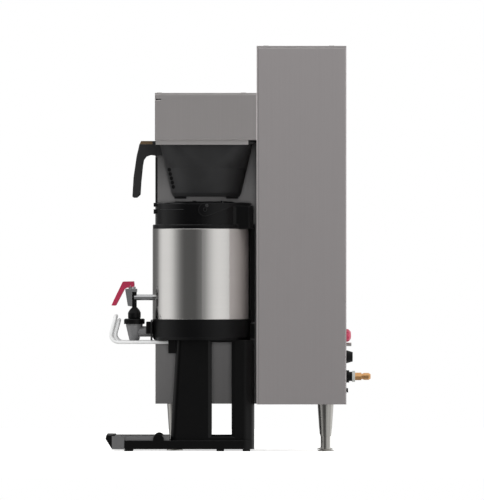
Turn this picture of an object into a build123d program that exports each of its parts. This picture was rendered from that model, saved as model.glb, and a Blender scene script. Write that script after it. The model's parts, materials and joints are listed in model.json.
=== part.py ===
"""A twin coffee brewer with two docked thermal servers, in millimetres.

+Z is up, the front faces -Y and +X is on the right of someone who faces the front, so the
right-hand basket and server are the ones at +X. The origin is on the counter, at the middle of the
whole assembly's width and depth.
"""

import os
from math import cos, radians, sin

from build123d import *

os.makedirs("parts", exist_ok=True)

# Brewer body
body_width = 558.0
sheet = 1.5
leg_height = 105.8
tower_rise = 106.1
tower_depth = 202.3
head_height = 106.5
head_depth = 229.8
column_half_width = 42.0
tower_cover_lip = 4.3
head_cover_lip = 3.4
return_flange = 14.0
base_flange = 18.0
screw_head_radius = 7.0
screw_head_height = 1.1
screw_radius = 2.5
screw_length = 8.0
screw_bevel = 1.5
cover_hole_clearance = 0.3
cover_screw_side = 40.0
tower_screw_front = 21.0
tower_screw_rear = 33.0
head_screw_front = 10.0
head_screw_rear = 30.0
head_slot_inset = 2.0
head_slot_length = 12.0
head_slot_height = 2.5
head_slot_drop = 12.8

# Where the pieces stand, front to back
jacket_clearance = 12.15
basket_setback = 113.9
tray_reach = 217.7
inlet_reach = 55.4
bay_clearance = 6.85

# Column front panel
panel_thickness = 5.2
panel_drop = 38.0
panel_height = 236.0
screen_width = 62.0
screen_height = 110.0
screen_drop = 22.0
screen_recess = 2.2
board_width = 64.0
board_height = 150.0
board_thickness = 1.6
board_gap = 9.0
board_post_radius = 3.0
relay_count = 3
relay_pitch = 34.0
relay_side = 24.0
relay_width = 28.0
relay_height = 22.0
relay_depth = 16.0
plug_side = 12.0
plug_width = 14.0
plug_height = 16.0
plug_depth = 10.0

# Legs
rear_leg_inset = 46.1
rear_leg_side_inset = 46.0
front_leg_inset = 44.1
front_leg_half_spacing = 22.0
leg_top_radius = 17.3
leg_low_radius = 12.5
leg_taper_height = 71.9
foot_radius = 10.4
foot_flange_radius = 18.0
foot_flange_height = 1.8
foot_thread_length = 30.0
foot_bevel = 3.0
foot_bore = 8.4
foot_bore_spare = 2.0
fit = 0.2

# Brewing baskets and their rails
rail_height = 10.4
rail_length = 208.9
rail_front_inset = 1.9
rail_ledge = 6.9
rail_sheet = 1.6
basket_half = 105.0
basket_wall = 2.5
basket_rim_height = 4.0
basket_rim_overhang = 5.6
basket_rim_tail = 6.5
basket_depth = 122.8
basket_bay_gap = 8.9
basket_bottom_radius = 75.0
basket_drip_radius = 6.0
basket_pad_height = 4.8
basket_pad_half_width = 20.0
basket_pad_inset = 3.0
basket_pad_length = 27.0
basket_slide_gap = 0.4
# Each level of the basket's cone: its share of the depth, then how far its sides are drawn in and its
# corner radius, both as shares of the half width
basket_levels = ((0.0, 0.0, 0.4), (0.25, 0.067, 0.648), (0.46, 0.124, 0.857), (0.93, 0.248, 0.743))
basket_rim_corner = 12.0
handle_half_width = 11.0
handle_boss_reach = 6.7
handle_boss_half_width = 20.0
handle_boss_height = 30.0
handle_boss_depth = 16.0
handle_top_gap = 1.5
handle_tip_bend = 3.0
handle_reach = 55.7
handle_drop = 127.8
# The handle's side outline: how far forward of its root and how far under its top, as shares
handle_outline = (
    (0.0, 0.0), (0.64, 0.0), (0.715, 0.063), (0.757, 0.148), (0.796, 0.215), (0.826, 0.273),
    (0.952, 0.648), (1.0, 1.0), (0.826, 1.0), (0.686, 0.945), (0.654, 0.72), (0.618, 0.565),
    (0.588, 0.43), (0.545, 0.328), (0.44, 0.266), (0.269, 0.24), (0.108, 0.248), (0.0, 0.281),
)
insert_length = 36.0
insert_height = 7.4
insert_reach = 46.0

# Water side
spray_radius = 46.0
spray_height = 2.0
spray_stem_radius = 7.0
spray_stem_height = 24.0
spray_holes = 8
spray_hole_size = 1.6
spray_hole_circle = 28.0
tank_width = 400.0
tank_depth = 160.0
tank_height = 330.0
tank_wall = 1.5
tank_corner = 30.0
tank_headroom = 165.0
tank_lid_thickness = 3.0
tank_lid_overhang = 8.0
cradle_half_width = 120.0
cradle_thickness = 3.0
cradle_half_depth = 60.0
element_radius = 4.0
element_bend = 30.0
element_depth = 250.0
element_stub = 22.0
element_spacing = 110.0
element_collar_radius = 9.0
element_collar_height = 6.0
valve_size = 38.0
valve_height = 46.0
valve_offset = 62.0
coil_radius = 11.0
coil_height = 24.0
hose_radius = 6.0
hose_bore = 4.0
hose_hole_clearance = 1.5
hose_standoff = 12.0
hose_entry_drop = 180.0
fill_hose_bend = 28.0
fill_hose_drop = 60.0

# Rear panel fittings
drain_rise = 154.2
drain_x = -150.0
drain_body_radius = 8.0
drain_body_length = 30.0
drain_body_reach = 0.4
drain_nut_radius = 13.0
drain_nut_length = 6.0
drain_spindle_radius = 3.0
drain_spindle_inset = 2.0
spout_tube_radius = 4.0
spout_bore = 2.5
spout_reach = 13.5
spout_bend = 26.0
spout_drop = 20.5
knob_radius = 14.5
knob_length = 12.6
knob_gap = 0.7
# The knob's turned outline: its radius and its distance from the inner face, as shares
knob_outline = ((1.0, 0.0), (1.0, 0.38), (0.89, 0.63), (0.586, 0.933), (0.38, 1.0))
knob_lobes = 8
knob_flute_radius = 4.2
knob_flute_offset = 2.4
gland_rise = 106.6
gland_x = 60.0
gland_base_radius = 14.5
gland_tip_radius = 10.8
gland_length = 15.4
gland_bore = 6.5
gland_wall = 2.0
gland_collar_length = 3.0
gland_tail = 12.0
gland_nut_length = 5.0
inlet_rise = 62.6
inlet_x = 150.0
bulkhead_tail = 16.0
bulkhead_tail_inset = 2.0
bulkhead_flange_radius = 14.0
bulkhead_flange_length = 7.0
bulkhead_radius = 10.6
bulkhead_length = 13.6
washer_radius = 12.4
washer_length = 6.6
hex_across_flats = 17.0
hex_length = 14.2
neck_radius = 4.5
neck_length = 4.6
flare_radius = 7.94
flare_length = 12.0
flare_cone = 3.0
inlet_bore = 5.0
fitting_wall_spare = 0.5
neck_step = 2.0
switch_rise = 30.7
switch_x = 60.0
switch_half_width = 11.0
switch_half_height = 8.0
switch_rim = 0.8
switch_bezel_length = 1.3
switch_depth = 24.0
switch_well_wall = 1.2
switch_well_depth = 10.0
rocker_play = 0.4
rocker_pin_radius = 1.5
rocker_pin_depth = 2.0
rocker_pin_ends = (0.4, 0.7)
rocker_reach = 5.3
# The rocker's side outline: how far out of the panel and how high, as shares
rocker_outline = (
    (-0.89, -0.35), (-0.89, 0.35), (0.18, 0.72), (0.88, 0.96), (0.92, 0.0), (1.0, -1.0), (0.18, -0.72),
)
running_clearance = 0.05

# Server stand
stand_height = 250.9
stand_foot_height = 4.5
stand_base_height = 19.2
stand_web = 2.0
stand_base_half_width = 95.0
stand_arm_width = 11.0
stand_half_width = 70.0
stand_wall = 5.0
stand_top_front = 57.4
stand_low_front = 71.0
stand_rear = 118.6
stand_front_reach = 175.2
window_front = 22.0
window_rear = 67.0
window_bottom = 34.0
window_lip = 8.0
window_lip_depth = 3.5
window_lip_rise = 4.0
stand_front_corner = 12.0
stand_rear_corner = 24.0
brace_reach = 18.6
brace_height = 30.1
brace_half_width = 60.0
foot_pads = ((-165.5, 9.7), (41.5, 8.5), (100.5, 8.5))
foot_pad_half_width = 5.0
ear_radius = 12.2
ear_rise = 2.8
ear_thickness = 3.5
ear_setback = 98.1
arm_nose = 6.0

# Drip tray and its grille
tray_wall = 2.0
tray_clearance = 0.3
tray_rim_height = 10.0
tray_under_gap = 1.0
tray_ledge = 4.0
grille_thickness = 3.0
grille_bar = 4.0
grille_slot = 3.4
grille_slot_length = 44.0
nose_length = 14.5
nose_drop = 13.0
nose_lip = 2.4
nose_top_bevel = 2.0
nose_shoulder = 6.0
tongue_inset = 20.0
tongue_length = 5.0

# Server body
jacket_radius = 111.65
jacket_height = 204.8
jacket_wall = 1.5
liner_radius = 100.0
liner_floor_gap = 8.0
liner_shoulder_gap = 11.0
mouth_radius = 52.0
mouth_height = 26.0
liner_bevel = 10.0
base_height = 46.7
base_wall = 4.0
base_spigot_height = 8.0
base_block_half_width = 26.0
base_block_reach = 7.4
base_block_depth = 18.0
base_block_low = 3.0
base_block_high = 10.0
base_edge = 4.0
base_edge_rise = 6.0
outlet_half = 14.0
collar_height = 59.1
collar_inset = 6.95
collar_wall = 4.0
collar_flange_height = 9.5
collar_flange_inset = 0.45
collar_edge = 3.0
collar_flange_edge = 1.5
lid_seat_radius = 80.0
lid_seat_depth = 16.5
block_half_width = 74.4
block_front = 71.0
block_overhang = 4.95
block_drop = 7.5
block_wall = 4.0
block_flare = 2.6
block_flare_length = 6.5
block_rear_corner = 12.0
spine_half_width = 20.0
spine_thickness = 8.0
rib_reach = 4.6
rib_half_width = 16.0
# The collar's two front ribs: how far under its top, how high
front_ribs = ((0.5, 8.5), (15.0, 10.0))
rib_depth = 6.0
spine_depth = 6.0
spine_lap = 10.0
lid_wall = 3.0
lid_dome = 2.4
lid_throat_radius = 14.0
lid_funnel_radius = 42.0
lid_plug_height = 20.0
lid_rib_height = 4.0
lid_rib_length = 9.0
lid_rib_width = 10.0
# The lid's two finger ribs: where their middles are, across and front to back from the lid's axis
lid_ribs = ((56.0, -17.0), (43.0, 44.0))
lid_gap = 0.3
lid_seat_gap = 0.2
lid_plug_gap = 2.0
lid_edge = 1.0
lid_bevel = 12.0
lid_throat_rise = 4.0

# Bail
bail_gap = 1.5
bail_thickness = 5.0
bail_disc_radius = 15.0
bail_pin_radius = 4.0
bail_pin_reach = 0.6
bail_neck_turn = 30.0
bail_pivot_offset = 7.4
bail_pivot_drop = 16.0
bail_lift = 0.5
bail_strap = 6.0
bail_taper_end = 74.0

# Faucet
faucet_stand_off = 41.85
faucet_rise = 18.7
faucet_top_radius = 18.4
faucet_tip_radius = 8.9
faucet_length = 43.8
faucet_top_rise = 35.9
faucet_cavity_radius = 8.0
spout_radius = 7.0
seat_height = 19.0
seat_thickness = 3.0
seat_bore = 5.0
faucet_edge = 3.0
shank_radius = 11.5
shank_bore = 6.0
saddle_half_width = 16.0
saddle_reach = 14.6
saddle_height = 26.6
saddle_drop = 4.7
bonnet_flange_radius = 22.75
bonnet_flange_height = 11.5
bonnet_bulb_radius = 13.8
bonnet_bulb_height = 19.7
bonnet_bevel = 1.5
bonnet_bulb_rise = 3.0
bonnet_shoulder = 6.0
bonnet_neck_radius = 4.6
bonnet_cone_height = 7.0
neck_top_rise = 115.4
stem_radius = 2.2
poppet_radius = 6.3
poppet_height = 3.0
poppet_gap = 0.1
stem_top_drop = 1.2
yoke_top_reach = 20.5
yoke_low_reach = 14.2
yoke_rear_reach = 5.8
yoke_height = 40.0
yoke_cap_height = 6.8
yoke_half_width = 9.0
yoke_edge = 1.5
yoke_gap = 0.1
brace_rod_radius = 6.3
brace_rod_rise = 96.0
lever_half_width = 8.0
lever_pivot_forward = 8.6
lever_pivot_rise = 5.7
lever_pin_radius = 1.5
lever_pin_inset = 0.5
lever_reach = 42.5
lever_drop = 43.6
lever_slot_play = 2.0
lever_slot_back = 6.0
lever_slot_down = 12.0
lever_slot_up = 6.0
# The lever's side outline: how far back of its pin and how far above it, as shares
lever_outline = (
    (-0.402, 0.243), (0.174, 0.255), (0.198, 0.083), (0.188, -0.021), (-0.2, -0.078), (-0.325, -0.156),
    (-0.781, -1.0), (-1.0, -0.991), (-0.878, -0.711),
)
lever_ear_half = 2.0
lever_slot_half = 2.6
lever_ear_radius = 4.0
guard_rod_radius = 3.75
guard_half_width = 28.0
guard_drop = 5.2
guard_reach = 57.5
guard_lean = 15.7
guard_rise = 58.7
guard_low_bend = 17.0
guard_top_bend = 12.0
guard_inner_step = 9.5
guard_inner_spacing = 7.2
guard_inner_drop = 9.0
guard_plate = 3.0
guard_plate_top = 45.1
guard_plate_gap = 1.5
guard_plate_corner = 8.0

# Levels and places that follow from the sizes above
jacket_bottom = stand_height + base_height
jacket_top = jacket_bottom + jacket_height
collar_top = jacket_top + collar_height
lid_seat = collar_top - lid_seat_depth
basket_bottom = collar_top + basket_bay_gap + basket_pad_height
rim_top = basket_bottom + basket_depth
rim_bottom = rim_top - basket_rim_height
rail_bottom = rim_bottom - basket_slide_gap - rail_sheet
head_bottom = rail_bottom + rail_height
head_top = head_bottom + head_height
tower_top = head_top + tower_rise
server_setback = jacket_radius + jacket_clearance
bay_centre = column_half_width + bay_clearance + jacket_radius
faucet_reach = jacket_radius + faucet_stand_off
tower_front = (server_setback + tray_reach - tower_depth - inlet_reach) / 2
rear_face = tower_front + tower_depth
head_front = tower_front - head_depth
server_y = tower_front - server_setback
basket_y = tower_front - basket_setback
half = body_width / 2
panel_top = head_bottom - panel_drop
tank_bottom = tower_top - tank_headroom - tank_height
drain_height = leg_height + drain_rise
gland_height = leg_height + gland_rise
inlet_height = leg_height + inlet_rise
switch_height = leg_height + switch_rise
stand_base_top = stand_foot_height + stand_base_height
tray_rim_bottom = stand_base_top + tray_clearance
tray_top = tray_rim_bottom + tray_rim_height
faucet_y = server_y - faucet_reach
faucet_bottom = stand_height + faucet_top_rise - faucet_length
faucet_top = stand_height + faucet_top_rise
shank_z = stand_height + faucet_rise
saddle_low = shank_z - saddle_drop
saddle_top = saddle_low + saddle_height
yoke_top = stand_height + neck_top_rise
lever_y = faucet_y - lever_pivot_forward
lever_z = yoke_top + lever_pivot_rise
bail_y = server_y + bail_pivot_offset
bail_z = collar_top - bail_pivot_drop
collar_radius = jacket_radius - collar_inset
collar_flange_radius = jacket_radius - collar_flange_inset
block_rear = jacket_radius + block_overhang
inner_radius = collar_radius + bail_gap
spray_hole_radius = spray_stem_radius + cover_hole_clearance
SIDES = (("right", 1), ("left", -1))


def block(x, y, z):
    """A box between two values on each axis."""
    centre = Pos((x[0] + x[1]) / 2, (y[0] + y[1]) / 2, (z[0] + z[1]) / 2)
    return centre * Box(x[1] - x[0], y[1] - y[0], z[1] - z[0])


def upright(radius, x, y, z):
    """A vertical round bar between two heights."""
    return Pos(x, y, (z[0] + z[1]) / 2) * Cylinder(radius, z[1] - z[0])


def along_y(radius, x, y, z):
    """A round bar that runs front to back."""
    return Pos(x, (y[0] + y[1]) / 2, z) * Rot(90, 0, 0) * Cylinder(radius, y[1] - y[0])


def along_x(radius, x, y, z):
    """A round bar that runs across the brewer."""
    return Pos((x[0] + x[1]) / 2, y, z) * Rot(0, 90, 0) * Cylinder(radius, x[1] - x[0])


def turned(points, x=0.0, y=0.0):
    """A turned piece about a vertical axis, from its (radius, height) outline."""
    outline = Polyline(*[(r, 0, z) for r, z in points], close=True)
    return Pos(x, y, 0) * revolve(make_face(outline), Axis.Z)


def turned_along_y(points, x, z):
    """A turned piece about an axis that runs front to back, from its (radius, y) outline."""
    outline = Polyline(*[(r, y, 0) for r, y in points], close=True)
    return Pos(x, 0, z) * revolve(make_face(outline), Axis.Y)


def side_plate(points, x):
    """A side outline of (y, z) points, as thick as the two x values are apart."""
    outline = Polyline(*[(x[0], y, z) for y, z in points], close=True)
    return extrude(make_face(outline), amount=x[1] - x[0], dir=(1, 0, 0))


def rounded_block(x, y, z, corner):
    """A box whose four upright edges are rounded."""
    centre = Pos((x[0] + x[1]) / 2, (y[0] + y[1]) / 2, z[0])
    return centre * extrude(RectangleRounded(x[1] - x[0], y[1] - y[0], corner), z[1] - z[0])


def save(name, *solids):
    """Writes one named node, of one or more separate solids."""
    shape = solids[0] if len(solids) == 1 else Compound(children=list(solids))
    export_step(shape, f"parts/{name}.step")


def tower_wrap():
    """The bent sheet of the tower: its front, both sides and their rear return flanges."""
    low, high = leg_height, tower_top - tower_cover_lip
    back = rear_face - sheet
    outer = block((-half, half), (tower_front, back), (low, high))
    inner = block((-half + sheet, half - sheet), (tower_front + sheet, back), (low, high))
    shell = outer - inner
    for side in (-1, 1):
        edge = sorted((side * (half - sheet), side * (half - sheet - return_flange)))
        shell += block(edge, (back - sheet, back), (low, high))
    for _, side in SIDES:
        hole = along_y(
            hose_radius + hose_hole_clearance,
            side * bay_centre,
            (tower_front - sheet, tower_front + 2 * sheet),
            hose_level(),
        )
        shell -= hole
    return shell


def hose_level():
    """The height at which the brewing hoses pass from the tower into the head."""
    return head_bottom + sheet + valve_height / 2


def tower_cover():
    """The tower's lid: a flat top with a turned-down lip, flush with the tower's sides."""
    low = tower_top - tower_cover_lip
    outer = block((-half, half), (tower_front, rear_face), (low, tower_top))
    hollow = block(
        (-half + sheet, half - sheet), (tower_front + sheet, rear_face - sheet), (low, tower_top - sheet)
    )
    cover = outer - hollow
    for x, y in tower_screws():
        cover -= upright(screw_radius + cover_hole_clearance, x, y, (low, tower_top))
    return cover


def tower_screws():
    """Where the screws of the tower's lid are."""
    rows = (tower_front + tower_screw_front, rear_face - tower_screw_rear)
    return [(side * (half - cover_screw_side), y) for side in (-1, 1) for y in rows]


def head_screws():
    """Where the screws of the head's lid are."""
    rows = (head_front + head_screw_front, tower_front - head_screw_rear)
    return [(side * (half - cover_screw_side), y) for side in (-1, 1) for y in rows]


def cover_screws():
    """The low-headed screws of both lids."""
    screws = []
    for places, top in ((tower_screws(), tower_top), (head_screws(), head_top)):
        for x, y in places:
            outline = [
                (0, top - screw_length),
                (screw_radius, top - screw_length),
                (screw_radius, top),
                (screw_head_radius, top),
                (screw_head_radius - screw_bevel, top + screw_head_height),
                (0, top + screw_head_height),
            ]
            screws.append(turned(outline, x, y))
    return screws


def rear_panel():
    """The tower's removable back, with the holes for its fittings."""
    z = (leg_height, tower_top - tower_cover_lip)
    panel = block((-half, half), (rear_face - sheet, rear_face), z)
    through = (rear_face - 2 * sheet, rear_face + sheet)
    panel -= along_y(drain_body_radius + fit, drain_x, through, drain_height)
    panel -= along_y(spout_tube_radius + fit, drain_x, through, drain_height - spout_drop)
    panel -= along_y(gland_bore + gland_wall + fit, gland_x, through, gland_height)
    panel -= along_y(bulkhead_radius - bulkhead_tail_inset + fit, inlet_x, through, inlet_height)
    panel -= block(
        (switch_x - switch_half_width + switch_rim - fit, switch_x + switch_half_width - switch_rim + fit),
        through,
        (
            switch_height - switch_half_height + switch_rim - fit,
            switch_height + switch_half_height - switch_rim + fit,
        ),
    )
    return panel


def base_pan():
    """The floor of the tower and of the column, with turned-up edges inside both."""
    low, high = leg_height, leg_height + base_flange
    gap = fit
    side = half - sheet - gap
    front, back = tower_front + sheet + gap, rear_face - 2 * sheet - gap
    pan = block((-side, side), (front, back), (low, high))
    pan -= block((-side + sheet, side - sheet), (front + sheet, back - sheet), (low + sheet, high))
    tongue_half = column_half_width - sheet - gap
    tongue_front = head_front + sheet + gap
    tongue = block((-tongue_half, tongue_half), (tongue_front, tower_front - gap), (low, high))
    tongue -= block(
        (-tongue_half + sheet, tongue_half - sheet),
        (tongue_front + sheet, tower_front - gap),
        (low + sheet, high),
    )
    return pan, tongue


def head_wrap():
    """The head's sheet-metal box: its front, sides and floor."""
    low, high = head_bottom, head_top - head_cover_lip
    shell = block((-half, half), (head_front, tower_front), (low, high))
    shell -= block(
        (-half + sheet, half - sheet), (head_front + sheet, tower_front), (low + sheet, high)
    )
    for _, side in SIDES:
        shell -= upright(spray_hole_radius, side * bay_centre, basket_y, (low - 1, low + 2 * sheet))
    slot_y = (head_front + head_slot_inset, head_front + head_slot_inset + head_slot_length)
    slot_z = (high - head_slot_drop, high - head_slot_drop + head_slot_height)
    shell -= block((-half - 1, -half + 2 * sheet), slot_y, slot_z)
    shell -= block((half - 2 * sheet, half + 1), slot_y, slot_z)
    return shell


def head_cover():
    """The head's lid, a shallow tray upside down."""
    low = head_top - head_cover_lip
    cover = block((-half, half), (head_front, tower_front), (low, head_top))
    cover -= block(
        (-half + sheet, half - sheet), (head_front + sheet, tower_front - sheet), (low, head_top - sheet)
    )
    for x, y in head_screws():
        cover -= upright(screw_radius + cover_hole_clearance, x, y, (low, head_top))
    return cover


def centre_column():
    """The column between the servers: a bent front and sides, cut back where its panel sits."""
    wide = column_half_width
    column = block((-wide, wide), (head_front, tower_front), (leg_height, head_bottom))
    inner = wide - sheet
    column -= block((-inner, inner), (head_front + sheet, tower_front), (leg_height, head_bottom))
    seat_z = (panel_top - panel_height, panel_top)
    seat = block((-wide, wide), (head_front, head_front + panel_thickness), seat_z)
    return column - seat


def column_panel():
    """The black front panel of the column, with the pocket that holds the screen."""
    y = (head_front, head_front + panel_thickness)
    z = (panel_top - panel_height, panel_top)
    panel = block((-column_half_width, column_half_width), y, z)
    panel = fillet(panel.edges().filter_by(Axis.Z).group_by(Axis.Y)[0], panel_thickness / 2)
    panel -= screen_block(fit)
    return panel


def screen_block(grow):
    """The screen's outline, larger by the given clearance at its sides."""
    wide = screen_width / 2 + grow
    top = panel_top - screen_drop + grow
    low = panel_top - screen_drop - screen_height - grow
    return block((-wide, wide), (head_front, head_front + screen_recess), (low, top))


def control_board():
    """The circuit board behind the panel, on four posts, with its relays and plugs."""
    back = head_front + panel_thickness
    y0 = back + board_gap
    middle = panel_top - panel_height / 2
    z = (middle - board_height / 2, middle + board_height / 2)
    board = block((-board_width / 2, board_width / 2), (y0, y0 + board_thickness), z)
    post = board_post_radius
    for side in (-1, 1):
        for end in (-1, 1):
            x = side * (board_width / 2 - 2 * post)
            board += along_y(post, x, (back, y0), middle + end * (board_height / 2 - 2 * post))
    face = y0 + board_thickness
    relay_x = (-relay_side, -relay_side + relay_width)
    plug_x = (plug_side, plug_side + plug_width)
    for row in range(relay_count):
        low = middle + (row - relay_count / 2) * relay_pitch
        board += block(relay_x, (face, face + relay_depth), (low, low + relay_height))
        board += block(plug_x, (face, face + plug_depth), (low, low + plug_height))
    return board


def rails():
    """The angle rails under the head that each basket's rim slides on."""
    front = head_front + rail_front_inset
    y = (front, front + rail_length)
    reach = basket_half + basket_rim_overhang + basket_slide_gap + rail_sheet
    pieces = []
    for _, side in SIDES:
        for hand in (-1, 1):
            outer = hand * reach
            upper = sorted((outer, outer - hand * rail_sheet))
            ledge = sorted((outer, outer - hand * rail_ledge))
            rail = block(upper, y, (rail_bottom, head_bottom))
            rail += block(ledge, y, (rail_bottom, rail_bottom + rail_sheet))
            pieces.append(Pos(side * bay_centre, 0, 0) * rail)
    return pieces


def legs():
    """The tapered leg tubes and the adjustable feet that screw into them."""
    rear_x = half - rear_leg_side_inset
    places = [(side * rear_x, rear_face - rear_leg_inset) for side in (-1, 1)]
    places += [(side * front_leg_half_spacing, head_front + front_leg_inset) for side in (-1, 1)]
    taper_bottom = leg_height - leg_taper_height
    tubes, feet = [], []
    for x, y in places:
        bore = foot_bore
        thread_top = taper_bottom + foot_thread_length
        outline = [
            (bore + running_clearance, taper_bottom),
            (leg_low_radius, taper_bottom),
            (leg_top_radius, leg_height),
            (0, leg_height),
            (0, thread_top + foot_bore_spare),
            (bore + running_clearance, thread_top + foot_bore_spare),
        ]
        tubes.append(turned(outline, x, y))
        stem = [
            (0, 0),
            (foot_flange_radius, 0),
            (foot_flange_radius, foot_flange_height),
            (foot_radius, foot_flange_height + foot_bevel),
            (foot_radius, taper_bottom),
            (bore, taper_bottom),
            (bore, thread_top),
            (0, thread_top),
        ]
        feet.append(turned(stem, x, y))
    return tubes, feet


def basket_outline(level, half_size, corner):
    """One level of the basket's funnel, a square with rounded corners."""
    return Pos(0, basket_y, level) * RectangleRounded(2 * half_size, 2 * half_size, corner)


def funnel(inset, floor):
    """The basket's form, square at the rim and round below, drawn in by a wall."""
    depth = rim_bottom - basket_bottom
    levels = []
    for share, drawn, corner in basket_levels:
        levels.append((rim_bottom - share * depth, basket_half * (1 - drawn), basket_half * corner))
    levels.append((floor, basket_bottom_radius, basket_bottom_radius - 1.0))
    body = None
    for upper, lower in zip(levels, levels[1:]):
        sections = [basket_outline(z, size - inset, r - inset) for z, size, r in (lower, upper)]
        band = loft(sections, ruled=True)
        body = band if body is None else body + band
    return body


def basket_shell():
    """The brewing basket: its funnel, sliding rim, feet, drip hole and the boss of its handle."""
    rim_half = basket_half + basket_rim_overhang
    front = basket_y - basket_half
    rim_y = (front, basket_y + basket_half + basket_rim_tail)
    rim = rounded_block((-rim_half, rim_half), rim_y, (rim_bottom, rim_top), basket_rim_corner)
    body = funnel(0, basket_bottom) + rim
    boss_y = (front - handle_boss_reach, front + handle_boss_depth)
    boss = block(
        (-handle_boss_half_width, handle_boss_half_width), boss_y, (rim_top - handle_boss_height, rim_top)
    )
    body += boss
    pad_z = (basket_bottom - basket_pad_height, basket_bottom)
    for hand in (-1, 1):
        far = hand * (basket_bottom_radius - basket_pad_inset)
        near = far - hand * basket_pad_length
        y = sorted((basket_y + far, basket_y + near))
        body += block((-basket_pad_half_width, basket_pad_half_width), y, pad_z)
    mouth_half = basket_half - basket_wall
    mouth_y = (basket_y - mouth_half, basket_y + mouth_half)
    mouth_corner = basket_half * basket_levels[0][2] - basket_wall
    mouth = rounded_block((-mouth_half, mouth_half), mouth_y, (rim_bottom, rim_top), mouth_corner)
    body -= funnel(basket_wall, basket_bottom + basket_wall) + mouth
    body -= upright(basket_drip_radius, 0, basket_y, (basket_bottom - 1, basket_bottom + 2 * basket_wall))
    return body


def handle_face():
    """The plane where the basket's handle meets its boss."""
    return basket_y - basket_half - handle_boss_reach


def handle_hook():
    """The whole hook of the handle, before its top is parted off for the insert."""
    root = handle_face()
    top = head_bottom - handle_top_gap
    outline = [(root - a * handle_reach, top - b * handle_drop) for a, b in handle_outline]
    hook = side_plate(outline, (-handle_half_width, handle_half_width))
    return fillet(hook.edges().filter_by(Axis.X).group_by(Axis.Z)[0], handle_tip_bend)


def basket_handle():
    """The open hook handle, with the seat of its coloured insert."""
    return handle_hook() - insert_space(fit)


def basket_insert():
    """The coloured insert: the front top of the hook, as wide as the handle."""
    return handle_hook() & insert_space(0)


def insert_space(grow):
    """The space of the insert, longer by the given clearance towards the basket."""
    start = handle_face() - insert_reach
    top = head_bottom - handle_top_gap
    wide = handle_half_width + 1
    return block((-wide, wide), (start, start + insert_length + grow), (top - insert_height, top + 1))


def spray_heads():
    """The spray heads under the head's floor, with their stems through it."""
    heads = []
    for _, side in SIDES:
        low = head_bottom - spray_height
        outline = [
            (0, low),
            (spray_radius, low),
            (spray_radius, head_bottom),
            (spray_stem_radius, head_bottom),
            (spray_stem_radius, head_bottom + spray_stem_height),
            (0, head_bottom + spray_stem_height),
        ]
        head = turned(outline, side * bay_centre, basket_y)
        for turn in range(spray_holes):
            angle = radians(360 / spray_holes * turn)
            x = side * bay_centre + spray_hole_circle * cos(angle)
            y = basket_y + spray_hole_circle * sin(angle)
            head -= upright(spray_hole_size, x, y, (low - 1, head_bottom + 1))
        heads.append(head)
    return heads


def tank_middle():
    """The tank's middle, front to back."""
    return (tower_front + rear_face) / 2


def boiler_tank():
    """The hot water tank with its lid plate, and the cradle that carries it on the base pan."""
    y0 = tank_middle()
    wide, deep = tank_width / 2, tank_depth / 2
    z = (tank_bottom, tank_bottom + tank_height)
    tank = rounded_block((-wide, wide), (y0 - deep, y0 + deep), z, tank_corner)
    inside = rounded_block(
        (-wide + tank_wall, wide - tank_wall),
        (y0 - deep + tank_wall, y0 + deep - tank_wall),
        (z[0] + tank_wall, z[1]),
        tank_corner - tank_wall,
    )
    tank -= inside
    over = tank_lid_overhang
    lid = rounded_block(
        (-wide - over, wide + over), (y0 - deep - over, y0 + deep + over),
        (z[1], z[1] + tank_lid_thickness), tank_corner + over,
    )
    for x in element_places():
        for offset in (-element_bend, element_bend):
            lid -= upright(element_radius + fit, x + offset, y0, (z[1] - 1, z[1] + 2 * tank_lid_thickness))
    floor = leg_height + sheet
    reach = cradle_half_depth
    cradle = block((-cradle_half_width, cradle_half_width), (y0 - reach, y0 + reach), (floor, tank_bottom))
    hollow = cradle_half_width - cradle_thickness
    under = (floor, tank_bottom - cradle_thickness)
    cradle -= block((-hollow, hollow), (y0 - reach - 1, y0 + reach + 1), under)
    return tank, lid, cradle


def element_places():
    """Where the heating elements stand along the tank."""
    return (-element_spacing, element_spacing)


def heating_elements():
    """Two hairpin heating elements that hang from the tank's lid plate."""
    top = tank_bottom + tank_height + tank_lid_thickness + element_stub
    low = tank_bottom + tank_height - element_depth
    pieces = []
    for x in element_places():
        y = tank_middle()
        path = FilletPolyline(
            (x - element_bend, y, top),
            (x - element_bend, y, low),
            (x + element_bend, y, low),
            (x + element_bend, y, top),
            radius=element_bend * 0.9,
        )
        section = Plane(origin=path @ 0, z_dir=path % 0) * Circle(element_radius)
        element = sweep(section, path=path)
        collar_z = (top - element_stub, top - element_stub + element_collar_height)
        for offset in (-element_bend, element_bend):
            element += upright(element_collar_radius, x + offset, y, collar_z)
        pieces.append(element)
    return pieces


def valve_front():
    """The front face of the brewing valves in the head."""
    return tower_front - valve_offset


def water_valves():
    """Two brewing valves on the head's floor and the fill valve on the rear panel."""
    floor = head_bottom + sheet
    wide = valve_size / 2
    pieces = []
    for _, side in SIDES:
        x = side * bay_centre
        y0 = valve_front()
        valve = block((x - wide, x + wide), (y0, y0 + valve_size), (floor, floor + valve_height))
        coil_low = floor + valve_height
        valve += upright(coil_radius, x, y0 + wide, (coil_low, coil_low + coil_height))
        pieces.append(valve)
    back = rear_face - sheet - bulkhead_tail
    front = back - valve_size
    fill_z = (inlet_height - wide, inlet_height + wide)
    fill = block((inlet_x - wide, inlet_x + wide), (front, back), fill_z)
    fill += along_y(coil_radius, inlet_x, (front - coil_height, front), inlet_height)
    pieces.append(fill)
    return pieces


def hose(points, bend):
    """A hose of even bore along straight runs joined by arcs."""
    path = FilletPolyline(*points, radius=bend)
    plane = Plane(origin=path @ 0, z_dir=path % 0)
    return sweep(plane * (Circle(hose_radius) - Circle(hose_bore)), path=path)


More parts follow.
